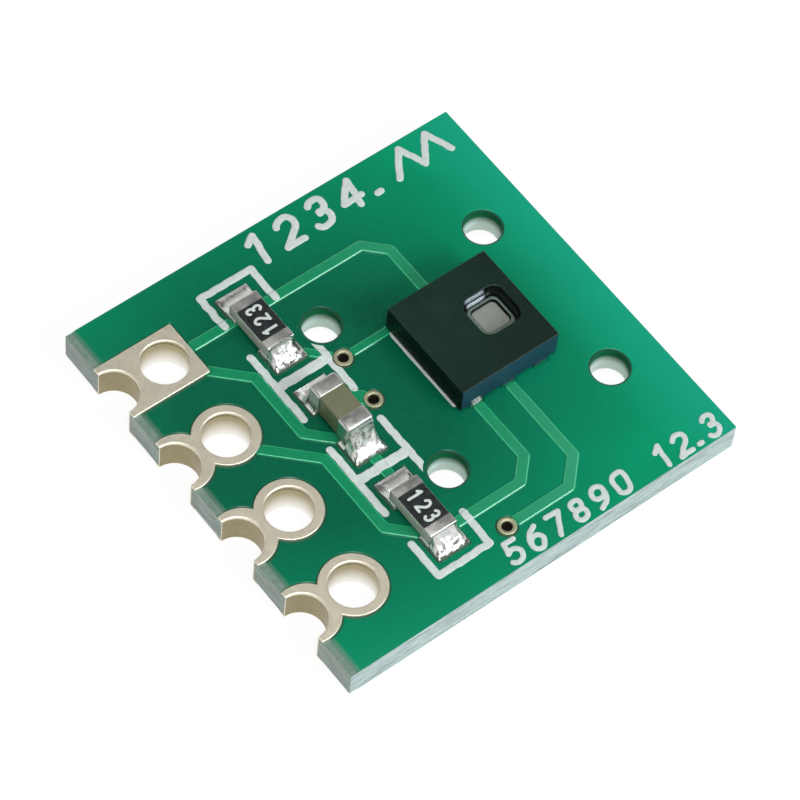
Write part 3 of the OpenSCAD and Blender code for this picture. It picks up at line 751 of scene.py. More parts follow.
def bared_material():
    """The laminate's own face where the mask leaves it bare: grey with woven cloth along the half-hole
    edge, and painted dark in the narrow clearances round the lands and holes, a painted shade in those
    gaps."""
    material, tree, shader, mm = start_material("Glass-epoxy laminate, face", IOR=1.55, Roughness=0.45)
    brink = Layout().masked.low[0]
    weave = grain(tree, mm, 0.12, 3.0)
    # painted shade in the narrow clearances beyond the bare strip
    gap_shaded = between(tree, axis(tree, mm, 0), 0, 1, brink, brink + 0.06)
    tone = cloudy(tree, weave, colour("bared"), 0.85, 1.15)
    coat(tree, shader, blend_colour(tree, gap_shaded, tone, colour("gap_shade")))
    bump(tree, shader, weave, 0.004)
    return material


def drilled_material():
    """Laminate drilled bare: smoother than the routed edge, painted nearly white as light that comes
    through the hole, with mask ink run into its top.
    """
    material, tree, shader, mm = start_material("Glass-epoxy laminate, drilled", 0.1, IOR=1.55,
                                                Roughness=0.8)
    streaks, top = fibre_streaks(tree, mm), Layout().top_z
    ink = between(tree, axis(tree, mm, 2), 0, 1, top - 0.5, top - 0.22)
    # pale drilled glass, made nearly white as painted light through the hole
    tone = cloudy(tree, streaks, colour("laminate"), 2.3, 2.7)
    coat(tree, shader, blend_colour(tree, ink, tone, colour("hole_ink")))
    bump(tree, shader, streaks, 0.008)
    return material


def gold_material(name, base, low, high, whole_hole=False):
    """Immersion gold over nickel: the thin gold takes the satin grain of the nickel below, so it is a pale
    beige metal with soft reflections. In a whole hole it is browner towards the top and painted nearly
    white low down, a painted glow of the light that comes through the hole."""
    material, tree, shader, mm = start_material(name, Metallic=1.0)
    tone = cloudy(tree, grain(tree, mm, 0.35, 3.0), base, 0.93, 1.04)
    if whole_hole:
        z, top = axis(tree, mm, 2), Layout().top_z
        # painted light: nearly white low in the hole
        foot = between(tree, z, 0, 1, top - 0.22, top - 0.8)
        rim = between(tree, z, 0, 0.75, top - 0.1, top - 0.02)
        tone = blend_colour(tree, foot, tone, colour("barrel_glow"))
        tone = blend_colour(tree, rim, tone, colour("barrel_rim"))
    coat(tree, shader, tone, between(tree, grain(tree, mm, 0.08), low, high))
    bump(tree, shader, grain(tree, mm, 0.03), 0.0012)
    return material


def via_barrel_material():
    """Plating in a narrow via, painted nearly black: a painted shade down the narrow hole."""
    material, tree, shader, mm = start_material("Via plating, painted shade", IOR=1.5, Roughness=0.7)
    # painted shade: near-black tones down the via
    coat(tree, shader, blend_colour(tree, grain(tree, mm, 0.05), colour("via_shade"), colour("via_shade_pale")))
    return material


def solder_material():
    """Reflowed tin-silver-copper solder: bright, with the wrinkles and dull patches of the
    surface that froze last."""
    material, tree, shader, mm = start_material("Tin-silver-copper solder, reflowed", Metallic=1.0)
    frost = grain(tree, mm, 0.12, 3.0, 0.6)
    tone = cloudy(tree, frost, colour("solder"), 0.85, 1.1)
    coat(tree, shader, tone, between(tree, frost, 0.16, 0.36, 0.4, 0.65))
    bump(tree, shader, grain(tree, mm, 0.2, 1.0), 0.009)
    return material


def tin_material():
    """Barrel-plated matt tin: an even light grey metal, finely grained."""
    material, tree, shader, mm = start_material("Matt tin plate", Metallic=1.0)
    cloud = grain(tree, mm, 0.2, 3.0)
    coat(tree, shader, cloudy(tree, cloud, colour("tin"), 0.88, 1.06), between(tree, cloud, 0.28, 0.42))
    bump(tree, shader, grain(tree, mm, 0.04), 0.003)
    return material


def ceramic_material(name, base, rough, grit):
    """Sintered ceramic, diced: an even dull body with a fine grit that is drawn coarser than the
    real grains, which are too small to show."""
    material, tree, shader, mm = start_material(name, IOR=1.65, Roughness=rough)
    speck = grain(tree, mm, grit)
    tone = cloudy(tree, grain(tree, mm, 0.3, 3.0), base, 0.9, 1.08)
    coat(tree, shader, blend_colour(tree, between(tree, speck, 0, 0.35, 0.5, 0.7), tone, shade(base, 1.3)))
    bump(tree, shader, speck, 0.003)
    return material


def glaze_material():
    """Lead-glass overglaze, fired black: glassy and slightly wavy over the resistor film."""
    material, tree, shader, mm = start_material("Fired black overglaze", IOR=1.6, Roughness=0.3)
    cloud = grain(tree, mm, 0.16, 3.0)
    coat(tree, shader, cloudy(tree, cloud, colour("glaze"), 0.7, 1.5), between(tree, cloud, 0.25, 0.4))
    bump(tree, shader, cloud, 0.004)
    return material


def moulding_material():
    """Epoxy moulding compound, straight from an eroded mould: black with a green cast and a fine matt grain
    of silica filler. It is painted paler round its -X +Y corner and darker away from it, a painted sheen."""
    base = colour("moulding")
    material, tree, shader, mm = start_material("Epoxy moulding compound, eroded matt", 0.3, IOR=1.5)
    at = Layout()
    filler = grain(tree, mm, 0.035)
    tone = cloudy(tree, grain(tree, mm, 0.9), base, 0.75, 1.25)
    tone = blend_colour(tree, between(tree, filler, 0, 0.3, 0.5, 0.75), tone, shade(base, 1.7))
    # painted sheen: paler round the -X +Y corner, darker away from it
    away = spread(tree, mm, (at.sensor_low[0], at.sensor_high[1]), 1.4, 3.4)
    tone = blend_colour(tree, maths(tree, "MULTIPLY", away, 0.8), tone, shade(base, 0.55))
    coat(tree, shader, tone, between(tree, filler, 0.28, 0.4))
    bump(tree, shader, filler, 0.0015)
    return material


def sawn_material(name, base, sheen):
    """The same compound cut by a diamond saw, with fine level scratches and a tone that varies along them.
    The walls that face Y are painted blue-grey, a painted reflection of the bluish lamp, and the two cuts
    along Y are painted nearly black, a painted shade."""
    material, tree, shader, mm = start_material(name, sheen, IOR=1.52)
    scratches = grain(tree, mm, 0.06, 2.0, 0.5, (0.12, 0.12, 1.6))
    coat(tree, shader, cloudy(tree, scratches, base, 0.85, 1.15), between(tree, scratches, 0.3, 0.42))
    bump(tree, shader, scratches, 0.002)
    return material


def well_material():
    """The same compound against the polished pin that shapes the window: glossy, with level ridges, and its
    colour darkened to near black, a painted shade in the window. On the wall that faces -Y, pale level
    stripes from one corner to past the middle, above the rim of the sensing chip, are a painted reflection
    of the lamp in the ridges."""
    base = colour("moulding")
    material, tree, shader, mm = start_material("Epoxy moulding compound, polished", 0.12, IOR=1.55,
                                                Roughness=0.2)
    low, high = node_box("window_dam")
    middle, rim, ridge = (low[0] + high[0]) / 2, high[2], 0.075
    x, z = axis(tree, mm, 0), axis(tree, mm, 2)
    level = between(tree, maths(tree, "PINGPONG", z, ridge), 0, 1, 0, ridge)
    glint_stripes = maths(
        tree, "MULTIPLY",
        between(tree, level, 0, 1, 0.25, 0.4),
        between(tree, facing_y(tree), 0, 1, -0.8, -0.93),
        between(tree, x, 1, 0, middle + 0.12, middle + 0.22),
        between(tree, z, 0, 1, rim, rim + 0.02),
        between(tree, grain(tree, mm, 0.06), 0.55, 1),
    )
    # painted shade: the compound at a fifth of its colour; painted reflection: the pale stripes
    coat(tree, shader, blend_colour(tree, glint_stripes, shade(base, 0.2), colour("glint_stripes")))
    bump(tree, shader, level, ridge * 0.3)
    return material


def lead_material(name, base):
    """Copper and solder painted dark, close to the tone round them, a painted shade at the foot of the
    package: a bright tin patch shows only at the end of the first lead, a painted glint."""
    material, tree, shader, mm = start_material(name, Metallic=0.2, Roughness=0.5)
    at = Layout()
    away = spread(tree, mm, (at.lead_x[0] - 0.02, at.sensor_low[1]), 0.1, 0.3)
    bare = between(tree, maths(tree, "ADD", away, grain(tree, mm, 0.05)), 0, 1, 0.5, 0.7)
    # painted glint at the first lead's end, painted shade elsewhere
    coat(tree, shader, blend_colour(tree, bare, colour("tin"), base))
    return material


def die_material():
    """Silicon under a polyimide film: a flat grey face, evenly satin, with a faint warm cloud."""
    material, tree, shader, mm = start_material("Polyimide-coated silicon", IOR=1.7, Roughness=0.4)
    coat(tree, shader, cloudy(tree, grain(tree, mm, 0.25), colour("die"), 0.93, 1.06))
    bump(tree, shader, grain(tree, mm, 0.05), 0.0006)
    return material


def ink_material():
    """Screen-printed marking ink: opaque white, matt, with the mesh of the screen as a soft
    unevenness along its edges."""
    material, tree, shader, mm = start_material("Screen-printed white ink", IOR=1.5, Roughness=0.6)
    cloud = grain(tree, mm, 0.1)
    coat(tree, shader, cloudy(tree, cloud, colour("ink"), 0.9, 1.04))
    bump(tree, shader, cloud, 0.004)
    return material


def dam_material():
    """Photo-set epoxy: a smooth grey resin rim, its grey set darker as painted shade down in the window."""
    material, tree, shader, mm = start_material("Photo-set epoxy rim", IOR=1.57, Roughness=0.3)
    coat(tree, shader, cloudy(tree, grain(tree, mm, 0.12), colour("dam"), 0.85, 1.15))
    return material


MAKERS = {
    "mask": lambda: mask_material(
        "Solder mask, gloss, over laminate", colour("mask"), colour("mask_lit"), 0.06),
    # mask over copper, with the same painted shade and sheen gradient
    "mask_copper": lambda: mask_material(
        "Solder mask, gloss, over copper", colour("track"), colour("track_lit"), 0.1),
    # thin mask on the copper's shoulders shows it paler, brightened further as a painted highlight along
    # the track edges
    "mask_shoulder_highlight": lambda: mask_material(
        "Solder mask, gloss, thin on the shoulders of the copper", shade(colour("track"), 2.1),
        shade(colour("track_lit"), 1.4), 0.1, 0.9),
    "laminate": laminate_material,
    "bared": bared_material,
    "drilled": drilled_material,
    "gold": lambda: gold_material("Immersion gold over nickel, satin", colour("gold"), 0.4, 0.52),
    "barrel": lambda: gold_material(
        "Immersion gold in a plated hole", colour("barrel"), 0.3, 0.42, whole_hole=True),
    "edge_wall": lambda: gold_material(
        "Immersion gold in a half hole", shade(colour("barrel"), 0.8), 0.35, 0.48),
    "via": lambda: gold_material("Immersion gold, dulled", colour("via"), 0.45, 0.6),
    "via_barrel": via_barrel_material,
    "solder": solder_material,
    "tin": tin_material,
    "alumina": lambda: ceramic_material("Sintered alumina, diced", colour("alumina"), 0.5, 0.04),
    "ceramic": lambda: ceramic_material("Barium titanate, fired", colour("ceramic"), 0.38, 0.05),
    "glaze": glaze_material,
    "moulding": moulding_material,
    "sawn_reflection": lambda: sawn_material("Epoxy moulding compound, sawn, painted reflection", colour("sawn_reflection"), 0.5),
    "sawn_shade": lambda: sawn_material("Epoxy moulding compound, sawn, painted shade", colour("sawn_shade"), 0.2),
    "well": well_material,
    "lead": lambda: lead_material("Sawn lead end, tarnished", colour("lead")),
    "lead_land": lambda: lead_material("Soldered lead land, under flux", colour("lead_land")),
    "die": die_material,
    "dam": dam_material,
    "ink": ink_material,
}
_made = {}


def finish(name):
    """The material of a finish, made once."""
    if name not in _made:
        _made[name] = MAKERS[name]()
    return _made[name]


# Pieces

class MODULE_OT_laminate(bpy.types.Operator):
    """Builds the laminate with its holes"""

    bl_idname = "module.laminate"
    bl_label = "Laminate"

    def execute(self, context):
        at = Layout()
        bores = [b for i in range(4) for b in at.pin_bores(i)]
        barrel = at.s["barrel"]
        vias = [Disc(x, y, at.s["via_bore"] / 2 + barrel, 32) for x, y in at.vias]

        def fill(p):
            keep = (at.board.distance(p) < 0) & (nearest(bores, p) > barrel)
            return [keep & (nearest(at.vents, p) > 0) & (nearest(vias, p) > 0)]

        apron, close = 0.09, 0.01
        loops = at.board.loops() + outlines(bores, barrel) + outlines(at.vents + vias, 0.0)
        loops += outlines(at.sensor_rects, apron)
        piece = layered("laminate", loops, [flat(at.under_z), flat(at.top_z)], fill,
                        paints=lambda p: np.where(nearest(at.sensor_rects, p) < apron + close, 3, 2),
                        wall_paints=lambda p: np.where(nearest(at.vents, p) < close, 1, 0))
        dress(piece, finish("laminate"), "laminate", "board_laminate",
              extra=[finish("drilled"), finish("bared"), finish("mask")])
        return {"FINISHED"}


def build_mask(name, at, top, tracks, replaced):
    """One mask layer: a film that climbs over the tracks, has round-edged openings and thins out
    towards the bare strip."""
    s = at.s
    bare, gap, lip = at.bare(top), s["mask_gap"], 0.03
    brink, thinnest = 0.12, 0.004
    rise = at.ridge(tracks)

    def surface(p):
        edge = np.minimum(nearest(bare, p) - gap, nearest(at.vents, p) - gap)
        drop = 0.5 * s["mask"] * np.clip(1 - edge / lip, 0, 1) ** 2
        thinning = (s["mask"] - thinnest) * np.clip(1 - (p[:, 0] - at.masked.low[0]) / brink, 0, 1)
        height = s["mask"] + rise(p) - np.maximum(drop, thinning)
        return at.top_z + height if top else at.under_z - height

    base = flat(at.top_z if top else at.under_z)

    def fill(p):
        keep = (at.masked.distance(p) < 0) & (nearest(bare, p) > gap)
        return [keep & (nearest(at.vents, p) > gap)]

    def paints(p):
        # the shoulder strip beside each track takes the painted highlight
        away = nearest(tracks, p)
        return np.where(away < 0, 1, np.where(away < s["mask_side"] * 0.5, 2, 0))

    inset = at.masked.low[0] + brink
    loops = at.masked.loops() + [[(inset, at.masked.low[1]), (inset, at.masked.high[1])]]
    loops += outlines(bare + at.vents, gap, gap + lip / 2, gap + lip)
    loops += outlines(tracks, *(s["mask_side"] * f for f in (0.0, 0.25, 0.5, 0.75, 1.0)))
    heights = [base, surface] if top else [surface, base]
    piece = layered(name, loops, heights, fill, paints)
    dress(piece, finish("mask"), "solder_mask", replaced,
          extra=[finish("mask_copper"), finish("mask_shoulder_highlight")])


class MODULE_OT_masks(bpy.types.Operator):
    """Builds the solder mask of both faces"""

    bl_idname = "module.masks"
    bl_label = "Solder masks"

    def execute(self, context):
        at = Layout()
        build_mask("mask_top", at, True, at.top_tracks(), "solder_mask_top")
        build_mask("mask_under", at, False, at.under_tracks(), "solder_mask_bottom")
        return {"FINISHED"}


def build_plating(name, at, outline, bores, replaced, land, wall, edge_wall):
    """Lands on both faces and the walls of their holes, in one piece with rounded rims."""
    barrel, rim, shoulder, close, edge_reach = at.s["barrel"], 0.055, 0.03, 0.002, 0.8

    def drop(p):
        return rounded(nearest(bores, p), rim) + rounded(-nearest(outline, p), shoulder)

    def fill(p):
        solid = (nearest(bores, p) > 0) & (p[:, 0] > at.edge_x)
        tube = solid & (nearest(bores, p) < barrel)
        plate = tube | (solid & (nearest(outline, p) < 0))
        return [plate, tube, plate]

    heights = [drop, flat(at.under_z), flat(at.top_z), lambda p: at.land_z - drop(p)]
    steps = (0.0, rim * 0.12, rim * 0.3, barrel, rim)
    loops = at.board.loops() + outlines(bores, *steps)
    loops += outlines(outline, 0.0, -shoulder * 0.15, -shoulder * 0.45, -shoulder)

    def wall_paints(p):
        return np.where(nearest(bores, p) > close, 0, np.where(p[:, 0] < at.edge_x + edge_reach, 2, 1))

    piece = layered(name, loops, heights, fill, wall_paints=wall_paints)
    return dress(piece, finish(land), "gold_plate", replaced, extra=[finish(wall), finish(edge_wall)])


class MODULE_OT_lands(bpy.types.Operator):
    """Builds the plated pin lands and the vias"""

    bl_idname = "module.lands"
    bl_label = "Plated lands and vias"

    def execute(self, context):
        at = Layout()
        for i, name in enumerate(at.pin_names):
            build_plating("plated_" + name, at, at.pin_outline(i), at.pin_bores(i), name,
                          "gold", "barrel", "edge_wall")
        for name, shape in zip(at.via_names, at.via_shapes):
            bore = Disc(shape.x, shape.y, at.s["via_bore"] / 2, 32)
            build_plating("plated_" + name, at, [shape], [bore], name, "via", "via_barrel", "via_barrel")
        coat_node("chip_lands", finish("gold"))
        # the sensor's lands take the painted shade and glint
        coat_node("sensor_lands", finish("lead_land"))
        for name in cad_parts:
            if name.startswith("track_"):
                coat_node(name, finish("mask_copper"))
        return {"FINISHED"}


def ring(w, h, r, y, z, count=5):
    """A rounded rectangle of points across the Y axis, about x = 0 and height z."""
    points = Rect((-w / 2, -h / 2), (w / 2, h / 2), r, count).loops()[0]
    return [(u, y, z + v) for u, v in points]


def moved(points, x, y, z):
    """Points moved by three distances."""
    return [(a + x, b + y, c + z) for a, b, c in points]


def soft_bar(w, l, h, r, edge):
    """Rings of a bar along Y with rounded long edges and rounded ends."""
    rings = []
    turns = [0, 22.5, 45, 67.5, 90]
    ends = [(edge * (1 - math.sin(math.radians(t))), edge * (1 - math.cos(math.radians(t)))) for t in turns]
    for cut, y in [(c, -l / 2 + d) for c, d in ends] + [(c, l / 2 - d) for c, d in ends[::-1]]:
        rings.append(ring(w - 2 * cut, h - 2 * cut, max(r - cut, 0.012), y, h / 2))
    return rings


def cup(w, l, h, r, edge, wall, depth, side):
    """Rings of a cap over one end of a bar: outer skin from the closed end to its mouth, then
    the inner skin back to the bar's end."""
    turns = [0, 18, 36, 54, 72, 90]
    rings = []
    for t in turns:
        cut = edge * (1 - math.sin(math.radians(t)))
        y = edge * (1 - math.cos(math.radians(t)))
        rings.append(ring(w - 2 * cut, h - 2 * cut, max(r - cut, 0.012), side * (l / 2 - y), h / 2))
    lip = wall * 0.8
    for f in (0.0, 0.3, 0.7, 1.0):
        y = depth - lip + lip * math.sin(f * math.pi / 2)
        cut = lip * (1 - math.cos(f * math.pi / 2))
        rings.append(ring(w - 2 * cut, h - 2 * cut, max(r - cut, 0.01), side * (l / 2 - y), h / 2))
    inner = (w - 2 * wall, h - 2 * wall, max(r - wall, 0.008))
    rings.append(ring(*inner, side * (l / 2 - depth), h / 2))
    rings.append(ring(*inner, side * (l / 2 - wall), h / 2))
    return rings


def joined(name, parts):
    """Joins separate solids into one object."""
    verts, faces = [], []
    for part in parts:
        start = len(verts)
        mesh = part.data
        verts += [v.co / MM for v in mesh.vertices]
        faces += [[start + i for i in f.vertices] for f in mesh.polygons]
        bpy.data.objects.remove(part)
    return mesh_object(name, verts, faces)


def build_resistor(number):
    """One chip resistor: alumina bar, black glaze and wrapped metal ends. Gives the middle of its
    top."""
    prefix = f"resistor_{number}"
    low, high = node_box(prefix + "_caps")
    w, h = high[0] - low[0], high[2] - low[2]
    x, y, z = (low[0] + high[0]) / 2, (low[1] + high[1]) / 2, low[2]
    core_low, core_high = node_box(prefix + "_body")
    wall = core_low[2] - low[2]
    glaze_low, glaze_high = node_box(prefix + "_glaze")
    bar = soft_bar(w - 0.006, core_high[1] - core_low[1], h - 2 * wall, 0.02, 0.02)
    piece = loft(prefix + "_bar", [moved(r, x, y, z + wall) for r in bar])
    dress(piece, finish("alumina"), "alumina", prefix + "_body")
    outer = Rect((low[1], low[2]), (high[1], high[2]), 0.045)
    core = Rect((core_low[1], core_low[2]), (core_high[1], core_high[2]), 0.01)
    mouths = (glaze_low[1], glaze_high[1])
    edge = 0.02

    def fill(p):
        beyond = (p[:, 0] < mouths[0]) | (p[:, 0] > mouths[1])
        return [(outer.distance(p) < 0) & (core.distance(p) > 0) & beyond]

    def side(sign):
        def height(p):
            return x + sign * (w / 2 - rounded(-outer.distance(p), edge))
        return height

    loops = edge_outlines(outer, edge) + core.loops()
    loops += Rect((mouths[0], low[2] - 0.1), (mouths[1], high[2] + 0.1)).loops()
    piece = layered(prefix + "_ends", loops, [side(-1), side(1)], fill,
                    place=lambda u, v, t: np.array((t, u, v)))
    dress(piece, finish("tin"), "end_cap", prefix + "_caps")
    pane = Rect(glaze_low[:2], glaze_high[:2], 0.03)
    crown = 0.03

    def face(p):
        return glaze_high[2] - rounded(-pane.distance(p), crown) * 0.7

    piece = layered(prefix + "_overglaze", edge_outlines(pane, crown), [flat(glaze_low[2]), face],
                    lambda p: [pane.distance(p) < 0])
    dress(piece, finish("glaze"), "resistor_glaze", prefix + "_glaze")
    return x, y, glaze_high[2]


class MODULE_OT_chips(bpy.types.Operator):
    """Builds the two chip resistors and the chip capacitor"""

    bl_idname = "module.chips"
    bl_label = "Chip parts"

    def execute(self, context):
        text, digit_h, digit_w, pitch, pen_w, ink = "123", 0.46, 0.24, 0.34, 0.075, 0.006
        span = (len(text) - 1) * pitch + digit_w
        for number, turn in ((1, 90), (2, -90)):
            x, y, z = build_resistor(number)
            strokes = text_strokes(text, digit_h, digit_w, pen_w, 0.0, pitch)
            spun = [turned(q, turn, (-span / 2, -digit_h / 2), (x, y)) for q in strokes]
            build_print(f"resistor_{number}_digits", spun, pen_w, flat(z - 0.001), ink, [], sway=0.01)
        low, high = node_box("capacitor_caps")
        w, l, h = (high[i] - low[i] for i in range(3))
        x, y, z = (low[0] + high[0]) / 2, (low[1] + high[1]) / 2, low[2]
        core_low, core_high = node_box("capacitor_body")
        wall = core_low[2] - low[2]
        bar = soft_bar(w - 2 * wall, core_high[1] - core_low[1], h - 2 * wall, 0.07, 0.05)
        piece = loft("capacitor_bar", [moved(r, x, y, z + wall) for r in bar])
        dress(piece, finish("ceramic"), "capacitor_ceramic", "capacitor_body")
        caps, corner, edge = [], 0.1, 0.09
        for side, depth in ((-1, 0.42), (1, 0.43)):
            rings = cup(w, l, h, corner, edge, wall, depth, side)
            caps.append(loft("cap", [moved(r, x, y, z) for r in rings]))
        dress(joined("capacitor_ends", caps), finish("tin"), "end_cap", "capacitor_caps")
        return {"FINISHED"}


def build_solder(name, at, k, node_name):
    """The solder of one chip: a wetted film on each land that climbs each metal end."""
    caps = ("resistor_1_caps", "capacitor_caps", "resistor_2_caps")[k]
    low, high = node_box(caps)
    solder_top = node_box(node_name)[1][2]
    body, middle = Rect(low[:2], high[:2], 0.03), (low[0] + high[0]) / 2
    z0, film = at.land_z, low[2] - at.land_z
    collar, collar_w, collar_l, lump_h, step = 0.1, 0.07, 0.3, 0.085, 0.03
    parts = []
    for side in (-1, 1):
        land = at.chip_land(k, side, 0.03)
        pad = Rect(land.low, land.high, 0.05)
        end_y = high[1] if side > 0 else low[1]
        toe = abs((pad.high[1] if side > 0 else pad.low[1]) - end_y)
        rise = (solder_top - low[2]) * (1.0 if side < 0 else 0.42)
        seed = Vector((k * 7.3, side * 3.1, 0))

        def surface(p, land=pad, end_y=end_y, toe=toe, rise=rise, seed=seed, side=side):
            out = side * (p[:, 1] - end_y)
            gap = np.maximum(body.distance(p), 0)
            edge = np.clip(-land.distance(p) / 0.1, 0, 1)
            climb = np.clip(1 - out / toe, 0, 1)
            across = np.clip(1 - np.maximum(np.abs(p[:, 0] - middle) - 0.3, 0) / 0.165, 0, 1)
            front = rise * climb ** 1.7 * across ** 0.5 * (out > -0.001)
            flank = collar * np.clip(1 - gap / collar_w, 0, 1) * (out <= 0) * (out > -collar_l)
            wave = np.array([noise.noise(Vector((x, y, 0)) * 7 + seed) for x, y in p])
            lump = lump_h * wave * np.sqrt(np.clip(climb * (1 - climb), 0, 1)) * (out > 0) * (side < 0)
            inside = body.distance(p) < -0.012
            skin = film * np.sqrt(edge) + (front + flank) * np.sqrt(edge) + lump * edge
            return z0 + np.where(inside, film - 0.001, np.maximum(skin, 0.004))

        loops = outlines([pad], 0.0, -0.01, -0.03, -0.06, -0.1)
        loops += outlines([body], 0.0, -0.012, -0.02, 0.03, collar_w)
        (x0, y0), (x1, y1) = pad.low, pad.high
        rows = [y0 + i * step for i in range(1, int((y1 - y0) / step))]
        columns = [x0 + i * step for i in range(1, int((x1 - x0) / step))]
        loops += [[(x0, y), (x1, y)] for y in rows] + [[(x, y0), (x, y1)] for x in columns]
        parts.append(layered("fillet", loops, [flat(z0), surface], lambda p: [pad.distance(p) < 0]))
    return dress(joined(name, parts), finish("solder"), "tin_solder", node_name)


class MODULE_OT_solder(bpy.types.Operator):
    """Builds the solder of the chips and gives the sensor's solder its material"""

    bl_idname = "module.solder"
    bl_label = "Solder"

    def execute(self, context):
        at = Layout()
        for k, name in enumerate(("solder_resistor_1", "solder_capacitor", "solder_resistor_2")):
            build_solder("reflowed_" + name, at, k, name)
        # the sensor's solder takes the painted shade and glint of the lead ends
        coat_node("solder_sensor", finish("lead"))
        return {"FINISHED"}


class MODULE_OT_sensor(bpy.types.Operator):
    """Builds the sensor's moulding, its window and what shows in it"""

    bl_idname = "module.sensor"
    bl_label = "Sensor"

    def execute(self, context):
        at = Layout()
        s, low, high = at.s, at.sensor_low, at.sensor_high
        dam_low, dam_high = node_box("window_dam")
        lead_top = node_box("sensor_leads")[1][2]
        wx, wy = (dam_low[0] + dam_high[0]) / 2, (dam_low[1] + dam_high[1]) / 2
        half = s["window"] / 2
        mouth = Rect((wx - half, wy - half), (wx + half, wy + half), s["window_r"], 12)
        floor_half = (dam_high[0] - dam_low[0]) / 2
        taper = half - floor_half
        floor = Rect((wx - floor_half, wy - floor_half), (wx + floor_half, wy + floor_half),
                     s["window_r"] - taper, 12)
        body = Rect(low[:2], high[:2], 0.02, 4)
        edge, lip, past = 0.025, 0.03, 0.1
        ends = ((low[1] - past, low[1] + s["lead_l"]), (high[1] - s["lead_l"], high[1] + past))
        leads = [
            Rect((x - s["lead_w"] / 2, y0), (x + s["lead_w"] / 2, y1)) for x in at.lead_x for y0, y1 in ends
        ]

        def top(p):
            away = mouth.distance(p)
            wall = high[2] - lip - (high[2] - lip - dam_high[2]) * np.clip(-away / taper, 0, 1)
            rim = high[2] - rounded(away, lip)
            return np.where(away > 0, rim - rounded(-body.distance(p), edge), wall)

        def fill(p):
            inside = (body.distance(p) < 0) & (floor.distance(p) > 0)
            return [inside & (nearest(leads, p) > 0), inside]

        # painted light: walls facing Y take the painted reflection, the two walls facing X the painted
        # shade
        def walls(p):
            across = np.minimum(p[:, 0] - low[0], high[0] - p[:, 0]) < 0.01
            return np.where(floor.distance(p) < 0.01, 2, np.where(across, 3, 1))

        loops = edge_outlines(body, edge) + outlines(leads, 0.0)
        loops += outlines([mouth], lip, lip * 0.5, lip * 0.15, 0.0) + floor.loops()
        piece = layered("moulded_cover", loops, [flat(low[2]), flat(lead_top), top], fill,
                        paints=lambda p: np.where(mouth.distance(p) < 0, 2, 0),
                        wall_paints=walls)
        dress(piece, finish("moulding"), "moulding", "sensor_cover",
              extra=[finish("sawn_reflection"), finish("well"), finish("sawn_shade")])
        dam_w, inner_r, r = 0.11, 0.14, 0.05
        inner_half = floor_half - dam_w
        inner = Rect((wx - inner_half, wy - inner_half), (wx + inner_half, wy + inner_half), inner_r, 12)
        outer = Rect(dam_low[:2], dam_high[:2], s["window_r"] - taper, 12)

        def crown(p):
            return dam_high[2] - rounded(-outer.distance(p), r) - rounded(inner.distance(p), r)

        loops = outlines([outer], 0.0, -0.01, -0.025, -r) + outlines([inner], 0.0, 0.01, 0.028, r)
        piece = layered("dam_rim", loops, [flat(dam_low[2]), crown],
                        lambda p: [(outer.distance(p) < 0) & (inner.distance(p) > 0)],
                        # painted shade: the dam's inner edge takes the near-black window material, the
                        # groove beside the chip
                        paints=lambda p: np.where(inner.distance(p) < 0.028, 1, 0))
        dress(piece, finish("dam"), "dam", "window_dam", extra=[finish("well")])
        coat_node("sensing_die", finish("die"))
        coat_node("signal_chip", finish("die"))
        # the sensor's leads take the painted shade and glint
        coat_node("sensor_leads", finish("lead"))
        coat_node("sensor_paddle", finish("tin"))
        return {"FINISHED"}


# Print

def glyph(character):
    """Strokes of a character in a box one unit high and 0.6 wide."""
    w, h, r = 0.6, 1.0, 0.3
    forms = {
        "0": [arc(r, h - r, r, 0, 180, 14) + arc(r, r, r, 180, 360, 14) + [(w, h - r)]],
        "1": [[(0.08, 0.78), (0.34, 1.0)], [(0.34, 1.0), (0.34, 0.0)]],
        "2": [arc(r, h - r, r, 160, -40, 14) + [(0.0, 0.0)], [(0.0, 0.0), (w, 0.0)]],
        "3": [arc(0.3, 0.74, 0.26, 150, -90, 14), arc(0.3, 0.26, 0.28, 90, -150, 14)],
        "4": [[(0.46, 0.0), (0.46, 1.0)], [(0.46, 1.0), (0.0, 0.3)], [(0.0, 0.3), (0.62, 0.3)]],
        "5": [[(0.56, 1.0), (0.1, 1.0)], [(0.1, 1.0), (0.06, 0.56)],
              [(0.06, 0.56)] + arc(0.28, 0.32, 0.32, 115, -140, 16)],
        "6": [[(0.5, 1.0)] + arc(0.62, 0.38, 0.62, 130, 180, 8), arc(0.3, 0.3, 0.3, 0, 360, 22)],
        "7": [[(0.0, 1.0), (w, 1.0)], [(w, 1.0), (0.2, 0.0)]],
        "8": [arc(0.3, 0.75, 0.25, -90, 270, 20), arc(0.3, 0.27, 0.28, 90, 450, 20)],
        "9": [arc(0.3, 0.7, 0.3, 0, 360, 22), arc(-0.02, 0.62, 0.62, 0, -50, 8) + [(0.1, 0.0)]],
        ".": [[(0.0, 0.06), (0.12, 0.06)]],
    }
    return forms[character]


def text_strokes(text, height, width, pen_w, slant, pitch):
    """Strokes of a line of characters from the left, with the letters' own slant."""
    made = []
    tall, wide = height - pen_w, width - pen_w
    left = pen_w / 2
    for character in text:
        for stroke in glyph(character):
            made.append([
                (left + u / 0.6 * wide + slant * v * tall, pen_w / 2 + v * tall) for u, v in stroke
            ])
        left += pitch - (wide * 0.75 if character == "." else 0)
    return made


def set_down(strokes, x, y):
    """Strokes moved to a place."""
    return [[(u + x, v + y) for u, v in stroke] for stroke in strokes]


def turned(points, degrees, shift, to):
    """Points moved by a shift, turned about the origin and set down at a place."""
    spin = Matrix.Rotation(math.radians(degrees), 2)
    return [tuple(spin @ (Vector(q) + Vector(shift)) + Vector(to)) for q in points]


